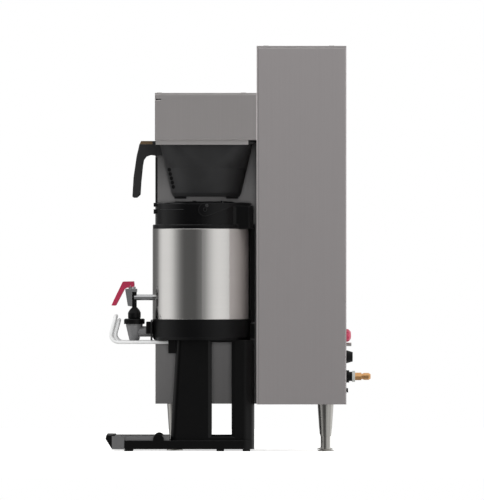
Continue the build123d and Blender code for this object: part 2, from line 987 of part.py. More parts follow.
def water_hoses():
    """The hoses from the tank's lid to the brewing valves, and from the fill valve to the tank."""
    level = hose_level()
    entry = tank_bottom + tank_height + tank_lid_thickness - hose_entry_drop
    fall_y = tank_front() - hose_standoff
    pieces = []
    for _, side in SIDES:
        x = side * bay_centre
        start_y = valve_front() + valve_size
        run = [(x, start_y, level), (x, fall_y, level), (x, fall_y, entry), (x, tank_front(), entry)]
        pieces.append(hose(run, hose_standoff - 0.5))
    low = inlet_height + valve_size / 2
    high = tank_bottom - fill_hose_drop
    y0 = rear_face - sheet - bulkhead_tail - valve_size / 2
    y1 = tank_middle()
    fill = [(inlet_x, y0, low), (inlet_x, y0, high), (inlet_x, y1, high), (inlet_x, y1, tank_bottom)]
    pieces.append(hose(fill, fill_hose_bend))
    return pieces


def tank_front():
    """The front face of the tank."""
    return tank_middle() - tank_depth / 2


def drain_parts():
    """The tank's drain valve on the rear panel, and the red knob that turns on its spindle."""
    tip = rear_face + knob_length - drain_spindle_inset
    tail = rear_face - drain_body_length
    inside = rear_face - sheet
    valve = along_y(drain_body_radius, drain_x, (tail, rear_face + drain_body_reach), drain_height)
    valve += along_y(drain_nut_radius, drain_x, (inside - drain_nut_length, inside), drain_height)
    valve += along_y(drain_spindle_radius, drain_x, (rear_face, tip), drain_height)
    spout_z = drain_height - spout_drop
    spout = along_y(spout_tube_radius, drain_x, (tail, rear_face + spout_reach), spout_z)
    spout += upright(spout_tube_radius, drain_x, rear_face - spout_bend, (spout_z, drain_height))
    spout -= along_y(spout_bore, drain_x, (rear_face - spout_reach, rear_face + spout_reach + 1), spout_z)
    valve += spout
    start = rear_face + knob_gap
    thick = knob_length - knob_gap
    outline = [(a * knob_radius, start + b * thick) for a, b in knob_outline]
    end = outline[-1][1]
    knob = turned_along_y([(0, start)] + outline + [(0, end)], drain_x, drain_height)
    for turn in range(knob_lobes):
        angle = radians(360 / knob_lobes * (turn + 0.5))
        x = drain_x + (knob_radius + knob_flute_offset) * cos(angle)
        z = drain_height + (knob_radius + knob_flute_offset) * sin(angle)
        knob -= along_y(knob_flute_radius, x, (start - 1, end + 1), z)
    spindle_hole = (rear_face, tip + cover_hole_clearance)
    knob -= along_y(drain_spindle_radius + running_clearance, drain_x, spindle_hole, drain_height)
    return valve, knob


def cable_gland():
    """The strain relief in the rear panel, tapered outside, with its nut inside."""
    thread = gland_bore + gland_wall
    tip = rear_face + gland_length
    outline = [
        (gland_bore, rear_face - gland_tail),
        (thread, rear_face - gland_tail),
        (thread, rear_face),
        (gland_base_radius, rear_face),
        (gland_base_radius, rear_face + gland_collar_length),
        (gland_tip_radius, tip),
        (gland_bore, tip),
    ]
    gland = turned_along_y(outline, gland_x, gland_height)
    inside = rear_face - sheet
    nut_y = (inside - gland_nut_length, inside)
    nut = along_y(gland_base_radius, gland_x, nut_y, gland_height)
    nut -= along_y(thread - 1.0, gland_x, (nut_y[0] - 1, inside + 1), gland_height)
    return gland + nut


def inlet_parts():
    """The water inlet: its black bulkhead, the pale seal and the brass flare fitting."""
    body_end = rear_face + bulkhead_length
    outline = [
        (inlet_bore, rear_face - sheet - bulkhead_tail),
        (bulkhead_radius - bulkhead_tail_inset, rear_face - sheet - bulkhead_tail),
        (bulkhead_radius - bulkhead_tail_inset, rear_face),
        (bulkhead_flange_radius, rear_face),
        (bulkhead_flange_radius, rear_face + bulkhead_flange_length),
        (bulkhead_radius, rear_face + bulkhead_flange_length),
        (bulkhead_radius, body_end),
        (inlet_bore, body_end),
    ]
    bulkhead = turned_along_y(outline, inlet_x, inlet_height)
    seal_end = body_end + washer_length
    seal = along_y(washer_radius, inlet_x, (body_end, seal_end), inlet_height)
    seal -= along_y(inlet_bore, inlet_x, (body_end - 1, seal_end + 1), inlet_height)
    hex_end = seal_end + hex_length
    nut = RegularPolygon(hex_across_flats / 2, 6, major_radius=False)
    nut = Pos(inlet_x, seal_end, inlet_height) * Rot(-90, 0, 0) * extrude(nut, hex_length)
    neck_end = hex_end + neck_length
    neck = along_y(neck_radius + neck_step, inlet_x, (hex_end, neck_end), inlet_height)
    tip = rear_face + inlet_reach
    thread = turned_along_y(
        [
            (0, neck_end),
            (flare_radius, neck_end),
            (flare_radius, neck_end + flare_length),
            (flare_radius - flare_cone, tip),
            (0, tip),
        ],
        inlet_x,
        inlet_height,
    )
    fitting = nut + neck + thread
    fitting -= along_y(inlet_bore - fitting_wall_spare, inlet_x, (seal_end - 1, tip + 1), inlet_height)
    return bulkhead, seal, fitting


def switch_parts():
    """The power switch: its housing in the rear panel and the rocker that tips in it."""
    x = (switch_x - switch_half_width, switch_x + switch_half_width)
    z = (switch_height - switch_half_height, switch_height + switch_half_height)
    rim = switch_rim
    bezel = block(x, (rear_face, rear_face + switch_bezel_length), z)
    box = block(
        (x[0] + rim, x[1] - rim), (rear_face - switch_depth, rear_face + 0.1), (z[0] + rim, z[1] - rim)
    )
    housing = bezel + box
    wall = rim + switch_well_wall
    well = (rear_face - switch_well_depth, rear_face + switch_bezel_length + 1)
    housing -= block((x[0] + wall, x[1] - wall), well, (z[0] + wall, z[1] - wall))
    pin_y = rear_face - rocker_pin_depth
    socket, pin = [(x[0] + rim + end, x[1] - rim - end) for end in rocker_pin_ends]
    housing -= along_x(rocker_pin_radius + running_clearance, socket, pin_y, switch_height)
    wide = switch_half_width - wall - rocker_play
    tall = switch_half_height - wall - rocker_play
    outline = [(rear_face + a * rocker_reach, switch_height + b * tall) for a, b in rocker_outline]
    rocker = side_plate(outline, (switch_x - wide, switch_x + wide))
    rocker += along_x(rocker_pin_radius, pin, pin_y, switch_height)
    return housing, rocker


def stand_edge(z):
    """The stand's front edge at a height, which leans forward towards the counter."""
    share = (stand_height - z) / (stand_height - stand_base_top)
    return server_y - stand_top_front - share * (stand_low_front - stand_top_front)


def leaning_prism(outline, x, front_corner, rear_corner):
    """A prism over a side outline, with its leaning front edges and upright rear edges rounded."""
    body = side_plate(outline, x)
    body = fillet(body.edges().filter_by(Axis.Z).group_by(Axis.Y)[-1], rear_corner)
    leaning = [edge for edge in body.edges() if 0.001 < abs((edge % 0.5).Y) < 0.5 < abs((edge % 0.5).Z)]
    return fillet(leaning, front_corner)


def window_cut(side):
    """The window through one side wall of the stand, with its flared lip."""
    y = (server_y + window_front, server_y + window_rear)
    z = (window_bottom, stand_height - stand_wall)
    wide = stand_half_width
    cut = block(sorted((side * (wide - 2 * stand_wall), side * (wide + 1))), y, z)
    centre_y, centre_z = (y[0] + y[1]) / 2, (z[0] + z[1]) / 2
    sections = []
    for depth, flare, rise in ((window_lip_depth, 0.0, 0.0), (-fit, window_lip, window_lip_rise)):
        plane = Plane(origin=(side * (wide - depth), centre_y, centre_z), x_dir=(0, 1, 0), z_dir=(1, 0, 0))
        sections.append(plane * Rectangle(y[1] - y[0] + 2 * flare, z[1] - z[0] + 2 * rise))
    return cut + loft(sections, ruled=True)


def stand_base(front):
    """The stand's wide base: a hollow foot with two arms that reach forward beside the drip tray."""
    low, rear, full, wall = stand_base_top, server_y + stand_rear, stand_base_half_width, stand_wall
    tip = server_y - stand_front_reach
    profile = [
        (tip + arm_nose, stand_foot_height),
        (rear, stand_foot_height),
        (rear, low),
        (tip + arm_nose, low),
        (tip, low - arm_nose),
        (tip, stand_foot_height + arm_nose),
    ]
    base = side_plate(profile, (-full, full))
    base = fillet(base.edges().filter_by(Axis.Z).group_by(Axis.Y)[-1], stand_rear_corner)
    arm = full - stand_arm_width
    base -= block((-arm, arm), (tip - 1, front - stand_web), (0, low + 1))
    pocket_y = (front - stand_web + wall, rear - wall)
    pocket = rounded_block((-full + wall, full - wall), pocket_y, (0, low - wall), stand_rear_corner - wall)
    base -= pocket
    for side in (-1, 1):
        x = sorted((side * (full - ear_thickness), side * full))
        ear = along_x(ear_radius, x, server_y - ear_setback, stand_base_top + ear_rise)
        base += ear - block((-full - 1, full + 1), (tip, rear), (0, low))
    return base


def stand():
    """The server's stand: a hollow column with windows and a leaning front, on its base and pads."""
    wide, low, rear, wall = stand_half_width, stand_base_top, server_y + stand_rear, stand_wall
    top = stand_height
    front_top, front_low = stand_edge(top), stand_edge(low)
    outline = [(front_top, top), (rear, top), (rear, low), (front_low, low)]
    body = leaning_prism(outline, (-wide, wide), stand_front_corner, stand_rear_corner)
    inner = [
        (front_top + wall, top - wall),
        (rear - wall, top - wall),
        (rear - wall, low),
        (front_low + wall, low),
    ]
    inside = (-wide + wall, wide - wall)
    body -= leaning_prism(inner, inside, stand_front_corner - wall, stand_rear_corner - wall)
    body -= window_cut(-1)
    body -= window_cut(1)
    back_half = wide - stand_rear_corner - wall
    body -= block((-back_half, back_half), (rear - 2 * wall, rear + 1), (window_bottom, top - 4 * wall))
    body += stand_base(front_low)
    brace_y = (front_top - brace_reach, front_top + wall)
    brace = block((-brace_half_width, brace_half_width), brace_y, (top - brace_height, top))
    inner_face = side_plate(inner, inside)
    body += brace - inner_face
    feet = []
    full = stand_base_half_width
    for offset, length in foot_pads:
        for side in (-1, 1):
            inner_x = side * (full - wall)
            if offset < -stand_low_front:
                inner_x = side * (full - 2 * foot_pad_half_width)
            x = sorted((inner_x, side * full))
            y = (server_y + offset - length, server_y + offset + length)
            feet.append(block(x, y, (0, stand_foot_height)))
    return [body] + feet


def tray_rear():
    """The drip tray's rear edge, just in front of the stand."""
    return stand_edge(stand_base_top) - stand_web - tray_clearance


def tray_front():
    """The drip tray's front face, behind the grille's nose."""
    return server_y - tray_reach + nose_length


def drip_tray():
    """The sliding pan: a rim that rests on the base's arms and a deeper trough between them."""
    full = stand_base_half_width
    arm_front = server_y - stand_front_reach
    trough = full - stand_arm_width - tray_clearance
    rim_half = full - ear_thickness - tray_clearance
    rim = block((-rim_half, rim_half), (tray_front(), tray_rear()), (tray_rim_bottom, tray_top))
    under = stand_foot_height + tray_under_gap
    deep = block((-trough, trough), (tray_front(), tray_rear()), (under, tray_rim_bottom + 1))
    front_y = (tray_front(), arm_front - tray_clearance)
    front = block((-full, full), front_y, (stand_foot_height, tray_top))
    pan = rim + deep + front
    wall = tray_wall
    pan -= block(
        (-trough + wall, trough - wall), (tray_front() + wall, tray_rear() - wall),
        (under + wall, tray_top + 1),
    )
    ledge = tray_ledge
    pan -= block(
        (-trough - ledge, trough + ledge), (tray_front() + wall, tray_rear() - wall),
        (tray_top - grille_thickness, tray_top + 1),
    )
    return pan


def drip_grille():
    """The black slotted grille that drops into the pan, with the nose that wraps the pan's front."""
    wall = tray_wall
    wide = stand_base_half_width - stand_arm_width - tray_clearance + tray_ledge - fit
    y = (tray_front() + wall + fit, tray_rear() - wall - fit)
    low = tray_top - grille_thickness
    plate = block((-wide, wide), y, (low, tray_top))
    pitch = grille_bar + grille_slot
    count = int((2 * wide - 4 * grille_bar) // pitch)
    middle = (y[0] + y[1]) / 2
    for row in (-1, 1):
        centre = middle + row * (grille_slot_length / 2 + grille_bar / 2)
        for index in range(count):
            x = (index - (count - 1) / 2) * pitch
            slot_y = (centre - grille_slot_length / 2, centre + grille_slot_length / 2)
            plate -= block((x - grille_slot / 2, x + grille_slot / 2), slot_y, (low - 1, tray_top + 1))
    start = tray_front() - nose_length
    high = tray_top + nose_lip
    nose = [
        (tray_front(), high),
        (start + nose_top_bevel, high),
        (start, tray_top - nose_shoulder),
        (start + nose_drop, stand_foot_height + nose_lip),
        (tray_front(), stand_foot_height + tray_under_gap),
    ]
    bumper = side_plate(nose, (-stand_base_half_width, stand_base_half_width))
    tongue_half = wide - tongue_inset
    tongue = block((-tongue_half, tongue_half), (tray_front() - 1, y[0] + tongue_length), (tray_top, high))
    return plate + bumper + tongue


def vessel():
    """The double-walled steel vessel: jacket, shoulder, mouth, liner and the outlet under it."""
    wall = jacket_wall
    top, low = jacket_top, jacket_bottom
    inner_top = top - liner_shoulder_gap
    floor = low + liner_floor_gap
    neck_top = top + mouth_height
    neck = mouth_radius + wall
    outline = [
        (jacket_radius - wall, low),
        (jacket_radius, low),
        (jacket_radius, top),
        (neck, top),
        (neck, neck_top),
        (mouth_radius, neck_top),
        (mouth_radius, inner_top),
        (liner_radius, inner_top),
        (liner_radius, floor + wall + liner_bevel),
        (liner_radius - liner_bevel, floor + wall),
        (0, floor + wall),
        (0, floor),
        (liner_radius - liner_bevel, floor),
        (liner_radius + wall, floor + liner_bevel),
        (liner_radius + wall, inner_top + wall),
        (neck, inner_top + wall),
        (neck, top - wall),
        (jacket_radius - wall, top - wall),
    ]
    body = turned(outline, 0, server_y)
    floor_z = stand_height + base_wall
    boss = block((-outlet_half, outlet_half), (server_y - outlet_half, server_y + outlet_half),
                 (floor_z, floor + wall / 2))
    boss -= upright(shank_bore, 0, server_y, (shank_z, floor + 2 * wall))
    boss -= along_y(shank_bore, 0, (server_y - outlet_half - 1, server_y), shank_z)
    body += boss
    body -= upright(shank_bore, 0, server_y, (floor - 1, floor + 2 * wall))
    return body


def server_base():
    """The black band under the vessel: a hollow drum with a rear block and the faucet's saddle."""
    low, high = stand_height, jacket_bottom
    wall = base_wall
    hole = outlet_half * 1.5
    spigot = jacket_radius - jacket_wall - fit
    outline = [
        (0, low),
        (jacket_radius - base_edge, low),
        (jacket_radius, low + base_edge_rise),
        (jacket_radius, high),
        (spigot, high),
        (spigot, high + base_spigot_height),
        (spigot - wall, high + base_spigot_height),
        (spigot - wall, high - wall),
        (hole, high - wall),
        (hole, high - 2 * wall),
        (jacket_radius - wall, high - 2 * wall),
        (jacket_radius - wall, low + wall + base_edge),
        (jacket_radius - wall - base_edge, low + wall),
        (0, low + wall),
    ]
    body = turned(outline, 0, server_y)
    rear = server_y + jacket_radius
    lump_y = (rear - base_block_depth, rear + base_block_reach)
    lump_z = (low + base_block_low, high - base_block_high)
    lump = block((-base_block_half_width, base_block_half_width), lump_y, lump_z)
    lump -= upright(jacket_radius - wall, 0, server_y, (low, high))
    body += lump
    front = server_y - jacket_radius
    saddle_y = (front - saddle_reach, front + wall)
    saddle = block((-saddle_half_width, saddle_half_width), saddle_y, (saddle_low, saddle_top))
    saddle -= upright(jacket_radius - wall, 0, server_y, (low, saddle_top + 1))
    body += saddle
    body -= along_y(shank_radius + fit, 0, (front - saddle_reach - 1, server_y - outlet_half), shank_z)
    return body


def collar_block(inset, z):
    """The block behind the collar: its sides flare a little where they leave the round wall."""
    wide, front, rear = block_half_width - inset, server_y + block_front, server_y + block_rear - inset
    half = [(wide + block_flare, front), (wide, front + block_flare_length), (wide, rear)]
    outline = half + [(-x, y) for x, y in reversed(half)]
    lump = Pos(0, 0, z[0]) * extrude(make_face(Polyline(*outline, close=True)), z[1] - z[0])
    return fillet(lump.edges().filter_by(Axis.Z).group_by(Axis.Y)[-1], block_rear_corner - inset)


def collar():
    """The black collar on the vessel: lid seat, side pivots, rear grip block and the rear spine."""
    wall = collar_wall
    low, high = jacket_top, collar_top
    seat, bore = lid_seat, mouth_radius + jacket_wall + fit
    outline = [
        (collar_radius - wall, low),
        (collar_flange_radius, low),
        (collar_flange_radius, low + collar_flange_height - collar_flange_edge),
        (collar_flange_radius - collar_flange_edge, low + collar_flange_height),
        (collar_radius, low + collar_flange_height),
        (collar_radius, high - collar_edge),
        (collar_radius - collar_edge, high),
        (lid_seat_radius, high),
        (lid_seat_radius, seat),
        (bore, seat),
        (bore, low),
        (bore + wall, low),
        (bore + wall, seat - wall),
        (lid_seat_radius + wall, seat - wall),
        (lid_seat_radius + wall, high - wall),
        (collar_radius - wall, high - wall),
    ]
    body = turned(outline, 0, server_y)
    shell = upright(collar_radius - wall / 2, 0, server_y, (low, high))
    lump = collar_block(0, (low, high - block_drop))
    lump -= collar_block(block_wall, (low - 1, high - block_drop - block_wall))
    lump -= shell
    rear = server_y + jacket_radius
    spine_y = (rear - spine_depth, rear + spine_thickness)
    spine_low = jacket_bottom - spine_depth
    spine = block((-spine_half_width, spine_half_width), spine_y, (spine_low, low + spine_lap))
    spine -= upright(jacket_radius, 0, server_y, (spine_low - 1, low))
    spine -= shell
    body += lump
    body += spine
    front = server_y - collar_radius
    for drop, height in front_ribs:
        rib_z = (high - drop - height, high - drop)
        rib = block((-rib_half_width, rib_half_width), (front - rib_reach, front + rib_depth), rib_z)
        body += rib - shell
    reach = inner_radius + bail_thickness + bail_pin_reach
    for hand in (-1, 1):
        x = sorted((hand * (collar_radius - wall / 2), hand * reach))
        body += along_x(bail_pin_radius, x, bail_y, bail_z)
    return body


def lid():
    """The brew-through lid: a dished cover with a centre throat, a plug and two finger ribs."""
    rim = lid_seat_radius - lid_gap
    low = lid_seat + lid_seat_gap
    high = collar_top + lid_dome
    plug = mouth_radius - lid_plug_gap
    wall = lid_wall
    outline = [
        (lid_throat_radius, low - lid_plug_height),
        (lid_throat_radius + wall, low - lid_plug_height),
        (lid_throat_radius + wall, low + lid_edge),
        (plug - wall, low + lid_edge),
        (plug - wall, low - lid_plug_height),
        (plug, low - lid_plug_height),
        (plug, low),
        (rim, low),
        (rim, collar_top - lid_edge),
        (rim - lid_bevel, high),
        (lid_funnel_radius, high),
        (lid_throat_radius, low + lid_throat_rise),
    ]
    body = turned(outline, 0, server_y)
    for across, back in lid_ribs:
        x = (across - lid_rib_width / 2, across + lid_rib_width / 2)
        y = (server_y + back - lid_rib_length / 2, server_y + back + lid_rib_length / 2)
        body += block(x, y, (high - lid_edge, collar_top + lid_rib_height))
    return body


def bail():
    """The carrying bail: two pivot discs and a strap that lies round the back of the collar."""
    outer = inner_radius + bail_thickness
    low, high = bail_z - bail_disc_radius, bail_z + bail_disc_radius
    ring = upright(outer, 0, server_y, (low, high))
    ring -= upright(inner_radius, 0, server_y, (low - 1, high + 1))
    block_top = collar_top - block_drop
    strap_low = block_top + bail_lift
    strap_high = strap_low + bail_strap
    rear = server_y + outer + 1
    turn = radians(bail_neck_turn)
    profile = [
        (bail_y, strap_high),
        (rear, strap_high),
        (rear, strap_low),
        (server_y + bail_taper_end, strap_low),
        (bail_y + bail_disc_radius * sin(turn), bail_z - bail_disc_radius * cos(turn)),
    ]
    side = side_plate(profile, (-outer - 1, outer + 1))
    side += along_x(bail_disc_radius, (-outer - 1, outer + 1), bail_y, bail_z)
    strap = ring & side
    return strap - along_x(bail_pin_radius + running_clearance, (-outer - 1, outer + 1), bail_y, bail_z)


def faucet_body():
    """The faucet's tapered body and the shank that carries it through the base to the outlet."""
    low, high = faucet_bottom, faucet_top
    outline = [
        (0, low),
        (faucet_tip_radius, low),
        (faucet_top_radius, high - faucet_edge),
        (faucet_top_radius, high),
        (0, high),
    ]
    body = turned(outline, 0, faucet_y)
    body += along_y(shank_radius, 0, (faucet_y, server_y - outlet_half), shank_z)
    seat = low + seat_height
    body -= upright(faucet_cavity_radius, 0, faucet_y, (seat, high + 1))
    body -= upright(seat_bore, 0, faucet_y, (low, seat + 1))
    body -= upright(spout_radius, 0, faucet_y, (low - 1, seat - seat_thickness))
    body -= along_y(shank_bore, 0, (faucet_y, server_y - outlet_half + 1), shank_z)
    return body


def faucet_bonnet():
    """The black bonnet on the faucet: flange, bulb, cone and the neck that guides the stem."""
    low = faucet_top
    flange = low + bonnet_flange_height
    bulb = flange + bonnet_bulb_height
    cone = bulb + bonnet_cone_height
    neck_top = yoke_top - yoke_cap_height
    bore = stem_radius + running_clearance
    outline = [
        (bore, low),
        (bonnet_flange_radius, low),
        (bonnet_flange_radius, flange - bonnet_bevel),
        (bonnet_flange_radius - bonnet_bevel, flange),
        (bonnet_bulb_radius - bonnet_bevel, flange),
        (bonnet_bulb_radius, flange + bonnet_bulb_rise),
        (bonnet_bulb_radius, bulb - bonnet_shoulder),
        (bonnet_bulb_radius - bonnet_shoulder / 2, bulb),
        (bonnet_neck_radius, cone),
        (bonnet_neck_radius, neck_top),
        (bore, neck_top),
    ]
    return turned(outline, 0, faucet_y)


def faucet_stem():
    """The stem that the lever presses down, with the poppet that closes the seat from below."""
    high = faucet_bottom + seat_height - seat_thickness - poppet_gap
    top = lever_z - stem_top_drop
    outline = [
        (0, high - poppet_height),
        (poppet_radius, high - poppet_height),
        (poppet_radius, high),
        (stem_radius, high),
        (stem_radius, top),
        (0, top),
    ]
    return turned(outline, 0, faucet_y)


def lever_bracket():
    """The bright wedge capping the bonnet's neck, its ear and pin, and the rod to the jacket."""
    low = yoke_top - yoke_height
    neck_front = faucet_y - bonnet_neck_radius
    cap_low = yoke_top - yoke_cap_height
    wedge = [
        (faucet_y - yoke_top_reach, yoke_top),
        (faucet_y + yoke_rear_reach, yoke_top),
        (faucet_y + yoke_rear_reach, cap_low),
        (neck_front - yoke_gap, cap_low),
        (neck_front - yoke_gap, low),
        (faucet_y - yoke_low_reach, low + yoke_edge),
    ]
    body = side_plate(wedge, (-yoke_half_width, yoke_half_width))
    body = fillet(body.edges().filter_by(Axis.X).group_by(Axis.Z)[-1], yoke_edge)
    ear = along_x(lever_ear_radius, (-lever_ear_half, lever_ear_half), lever_y, lever_z)
    ear_y = (lever_y - lever_ear_radius, lever_y + lever_ear_radius)
    ear += block((-lever_ear_half, lever_ear_half), ear_y, (yoke_top - 1.0, lever_z))
    pin_half = lever_half_width - lever_pin_inset
    body += ear
    body += along_x(lever_pin_radius, (-pin_half, pin_half), lever_y, lever_z)
    body -= upright(stem_radius + running_clearance, 0, faucet_y, (low - 1, yoke_top + 1))
    rod_z = stand_height + brace_rod_rise
    rod = along_y(brace_rod_radius, 0, (faucet_y, server_y - jacket_radius + brace_rod_radius), rod_z)
    around = (rod_z - 2 * brace_rod_radius, rod_z + 2 * brace_rod_radius)
    rod -= upright(jacket_radius, 0, server_y, around)
    rod -= upright(bonnet_neck_radius, 0, faucet_y, around)
    return body, rod


def lever():
    """The red tap handle: pulled forward it tips on the bracket's pin, and its heel presses the stem."""
    y, z = lever_y, lever_z
    wide = lever_half_width
    outline = [(y + a * lever_reach, z + b * lever_drop) for a, b in lever_outline]
    body = side_plate(outline, (-wide, wide))
    slot_y = (y - lever_ear_radius - lever_slot_play, y + lever_slot_back)
    body -= block((-lever_slot_half, lever_slot_half), slot_y, (z - lever_slot_down, z + lever_slot_up))
    return body - along_x(lever_pin_radius + running_clearance, (-wide - 1, wide + 1), y, z)


def guard_loop(wide, root, front, rise):
    """One bent rod of the guard: forward along both sides, up the lean and across the top."""
    z = stand_height - guard_drop
    tip = (front + guard_lean * rise / guard_rise, z + rise)
    path = FilletPolyline(
        (wide, root, z),
        (wide, front, z),
        (wide, *tip),
        (-wide, *tip),
        (-wide, front, z),
        (-wide, root, z),
        radius=[guard_low_bend, guard_top_bend, guard_top_bend, guard_low_bend],
    )
    section = Plane(origin=path @ 0, z_dir=path % 0) * Circle(guard_rod_radius)
    return sweep(section, path=path)


def guard():
    """The two bent rods that shield the faucet, the outer one held in the stand's front brace."""
    front = faucet_y - guard_reach
    z = stand_height - guard_drop
    root = stand_edge(stand_height) - brace_reach
    wide = guard_half_width
    face = server_y - jacket_radius - guard_plate_gap
    inner_wide = wide - guard_inner_spacing
    inner_front = front + guard_inner_step
    rod = guard_loop(wide, root, front, guard_rise)
    rod += guard_loop(inner_wide, face - guard_plate / 2, inner_front, guard_rise - guard_inner_drop)
    plate_half = wide + guard_rod_radius
    plate_z = (z - guard_rod_radius / 2, stand_height + guard_plate_top)
    plate = block((-plate_half, plate_half), (face - guard_plate, face), plate_z)
    plate = fillet(plate.edges().filter_by(Axis.Y).group_by(Axis.Z)[-1], guard_plate_corner)
    opening = saddle_half_width + fit
    through = (face - guard_plate - 1, face + 1)
    plate -= block((-opening, opening), through, (shank_z - shank_radius - 1, saddle_top + fit))
    return rod + plate


def write_brewer():
    """Writes the nodes of the brewer itself."""
    save("tower_wrap", tower_wrap())
    save("tower_rear_panel", rear_panel())
    save("tower_top_cover", tower_cover())
    save("tower_base", *base_pan())
    save("head_wrap", head_wrap())
    save("head_top_cover", head_cover())
    save("cover_screws", *cover_screws())
    save("center_column", centre_column())
    save("column_front_panel", column_panel())
    save("touch_screen", screen_block(0))
    save("control_board", control_board())
    save("basket_rails", *rails())
    save("spray_heads", *spray_heads())
    save("water_valves", *water_valves())
    save("water_hoses", *water_hoses())
    save("boiler_tank", *boiler_tank())
    save("heating_elements", *heating_elements())
    tubes, feet = legs()
    save("leg_tubes", *tubes)
    save("leg_feet", *feet)
    valve, knob = drain_parts()
    save("drain_valve", valve)
    save("drain_knob", knob)
    save("cable_gland", cable_gland())
    bulkhead, seal, fitting = inlet_parts()
    save("inlet_bulkhead", bulkhead, seal)
    save("inlet_fitting", fitting)
    housing, rocker = switch_parts()
    save("power_switch_housing", housing)
    save("power_rocker", rocker)


def write_baskets_and_servers():
    """Writes both baskets and both servers, which are the same unit in each bay."""
    basket = {"shell": [basket_shell()], "handle": [basket_handle()], "insert": [basket_insert()]}
    server = {
        "stand": stand(),
        "drip_tray": [drip_tray()],
        "drip_grille": [drip_grille()],
        "vessel": [vessel()],
        "collar": [collar()],
        "base": [server_base()],
        "lid": [lid()],
        "bail": [bail()],
        "faucet_body": [faucet_body()],
        "faucet_bonnet": [faucet_bonnet()],
        "faucet_stem": [faucet_stem()],
        "lever_bracket": list(lever_bracket()),
        "lever": [lever()],
        "guard": [guard()],
    }
    for name, side in SIDES:
        shift = Pos(side * bay_centre, 0, 0)
        for unit, pieces in (("basket", basket), ("server", server)):
            for piece, solids in pieces.items():
                save(f"{unit}_{name}_{piece}", *[shift * solid for solid in solids])


write_brewer()
write_baskets_and_servers()
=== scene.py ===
# %% [markdown]
# A twin coffee brewer stands on a counter: a tall steel tower with a head that reaches forward, two black
# brewing baskets on rails under the head, and two steel servers on black stands. Its solid model comes from
# the CAD part. This lesson loads that model as a fixed frame and gives each piece the finish of the real
# one. The frame could be rebuilt here from cubes and cylinders, but then the sizes would drift, so every
# piece that has the right shape already is kept, and only its material is made new.

# %% The frame
import json
import math

import bmesh
import bpy
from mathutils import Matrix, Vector


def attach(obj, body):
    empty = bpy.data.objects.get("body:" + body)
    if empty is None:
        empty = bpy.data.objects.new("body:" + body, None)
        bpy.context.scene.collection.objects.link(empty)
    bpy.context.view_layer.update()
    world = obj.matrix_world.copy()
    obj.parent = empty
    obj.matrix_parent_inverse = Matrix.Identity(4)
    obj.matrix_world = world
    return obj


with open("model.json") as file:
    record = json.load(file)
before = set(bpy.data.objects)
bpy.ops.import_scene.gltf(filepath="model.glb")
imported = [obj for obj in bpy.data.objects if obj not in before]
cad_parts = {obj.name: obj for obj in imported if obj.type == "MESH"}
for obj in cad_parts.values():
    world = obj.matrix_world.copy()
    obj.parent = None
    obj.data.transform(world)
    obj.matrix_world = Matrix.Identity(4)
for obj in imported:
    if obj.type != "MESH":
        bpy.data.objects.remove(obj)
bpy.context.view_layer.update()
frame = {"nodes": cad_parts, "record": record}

# %% [markdown]
# The photograph looks straight at the brewer's right-hand side, and almost nothing in it gets smaller with
# distance: the two servers cover each other exactly. An orthographic camera would draw that too, but a very
# long lens from fifty metres away gives the same flat picture and still behaves like a camera when someone
# walks round the brewer. Its distance follows from the lens, the sensor and the height of the picture in
# metres, which is 500 pixels of 2.26 mm.

# %% The camera
PIXEL = 0.00226
PICTURE_HEIGHT = 500
LENS = 1600.0
SENSOR = 36.0
NEAR_SIDE = 0.2
CAMERA_DISTANCE = PIXEL * PICTURE_HEIGHT * LENS / SENSOR
# The middle of the picture, along Y and Z
PICTURE_MIDDLE = (0.0087, 0.4543)

camera_data = bpy.data.cameras.new("side_view")
camera_data.lens = LENS
camera_data.sensor_width = SENSOR
camera_data.clip_start = 1.0
camera_data.clip_end = 80.0
camera = bpy.data.objects.new("side_view", camera_data)
camera.location = (NEAR_SIDE + CAMERA_DISTANCE, *PICTURE_MIDDLE)
camera.rotation_euler = (math.radians(90), 0, math.radians(90))
bpy.context.scene.collection.objects.link(camera)
bpy.context.scene.camera = camera
print("camera distance in m", round(CAMERA_DISTANCE, 2))

# %% [markdown]
# Shaders work with linear light, while a colour read from a picture is coded for a screen. A colour that
# is typed in as it looks would render too pale, so this helper turns the usual 0 to 255 values into linear
# ones once, and every finish below is written in values that can be compared with a picture.

# %% Colours as a paint chart gives them
def colour(red, green, blue):
    """A screen colour from 0 to 255 as the linear colour that a shader takes."""
    linear = []
    for value in (red, green, blue):
        share = value / 255
        linear.append(share / 12.92 if share <= 0.04045 else ((share + 0.055) / 1.055) ** 2.4)
    return (*linear, 1.0)


print("middle grey is", round(colour(128, 128, 128)[0], 3))

# %% [markdown]
# The room, the floor and every material are built from nodes. A node takes a line to make it and one more for
# each setting and link, which soon hides what is meant. These two helpers make a node or a calculation in
# one line each.

# %% Nodes in one line
def add(tree, kind, place=(0, 0), **settings):
    """A new node in a tree, with its settings."""
    node = tree.nodes.new(kind)
    node.location = place
    for name, value in settings.items():
        setattr(node, name, value)
    return node


def calculate(tree, operation, *values, clamp=False):
    """A Math node: each value is a number or the socket that feeds it. Gives back its output."""
    node = add(tree, "ShaderNodeMath", operation=operation, use_clamp=clamp)
    for index, value in enumerate(values):
        if isinstance(value, bpy.types.NodeSocket):
            tree.links.new(value, node.inputs[index])
        else:
            node.inputs[index].default_value = value
    return node.outputs[0]


print("helpers", add.__name__, calculate.__name__)

# %% [markdown]
# A studio gives a shiny object something to reflect. In the photograph each round server shows it like a
# bent mirror: a bright card on either side, and a dark room behind the camera. The rounded rear corners of
# the stands show one more card, the brightest, behind the brewer. The flat tower side faces the dark room,
# and that is why it looks grey although it is steel too. So the surroundings are a ring of light and dark
# cards, written as a list of directions and brightnesses, under one bright overhead sheet that draws the
# light lines along rods and upper edges. One even white would make steel look like paint, and real walls
# would stand in the way of other views.

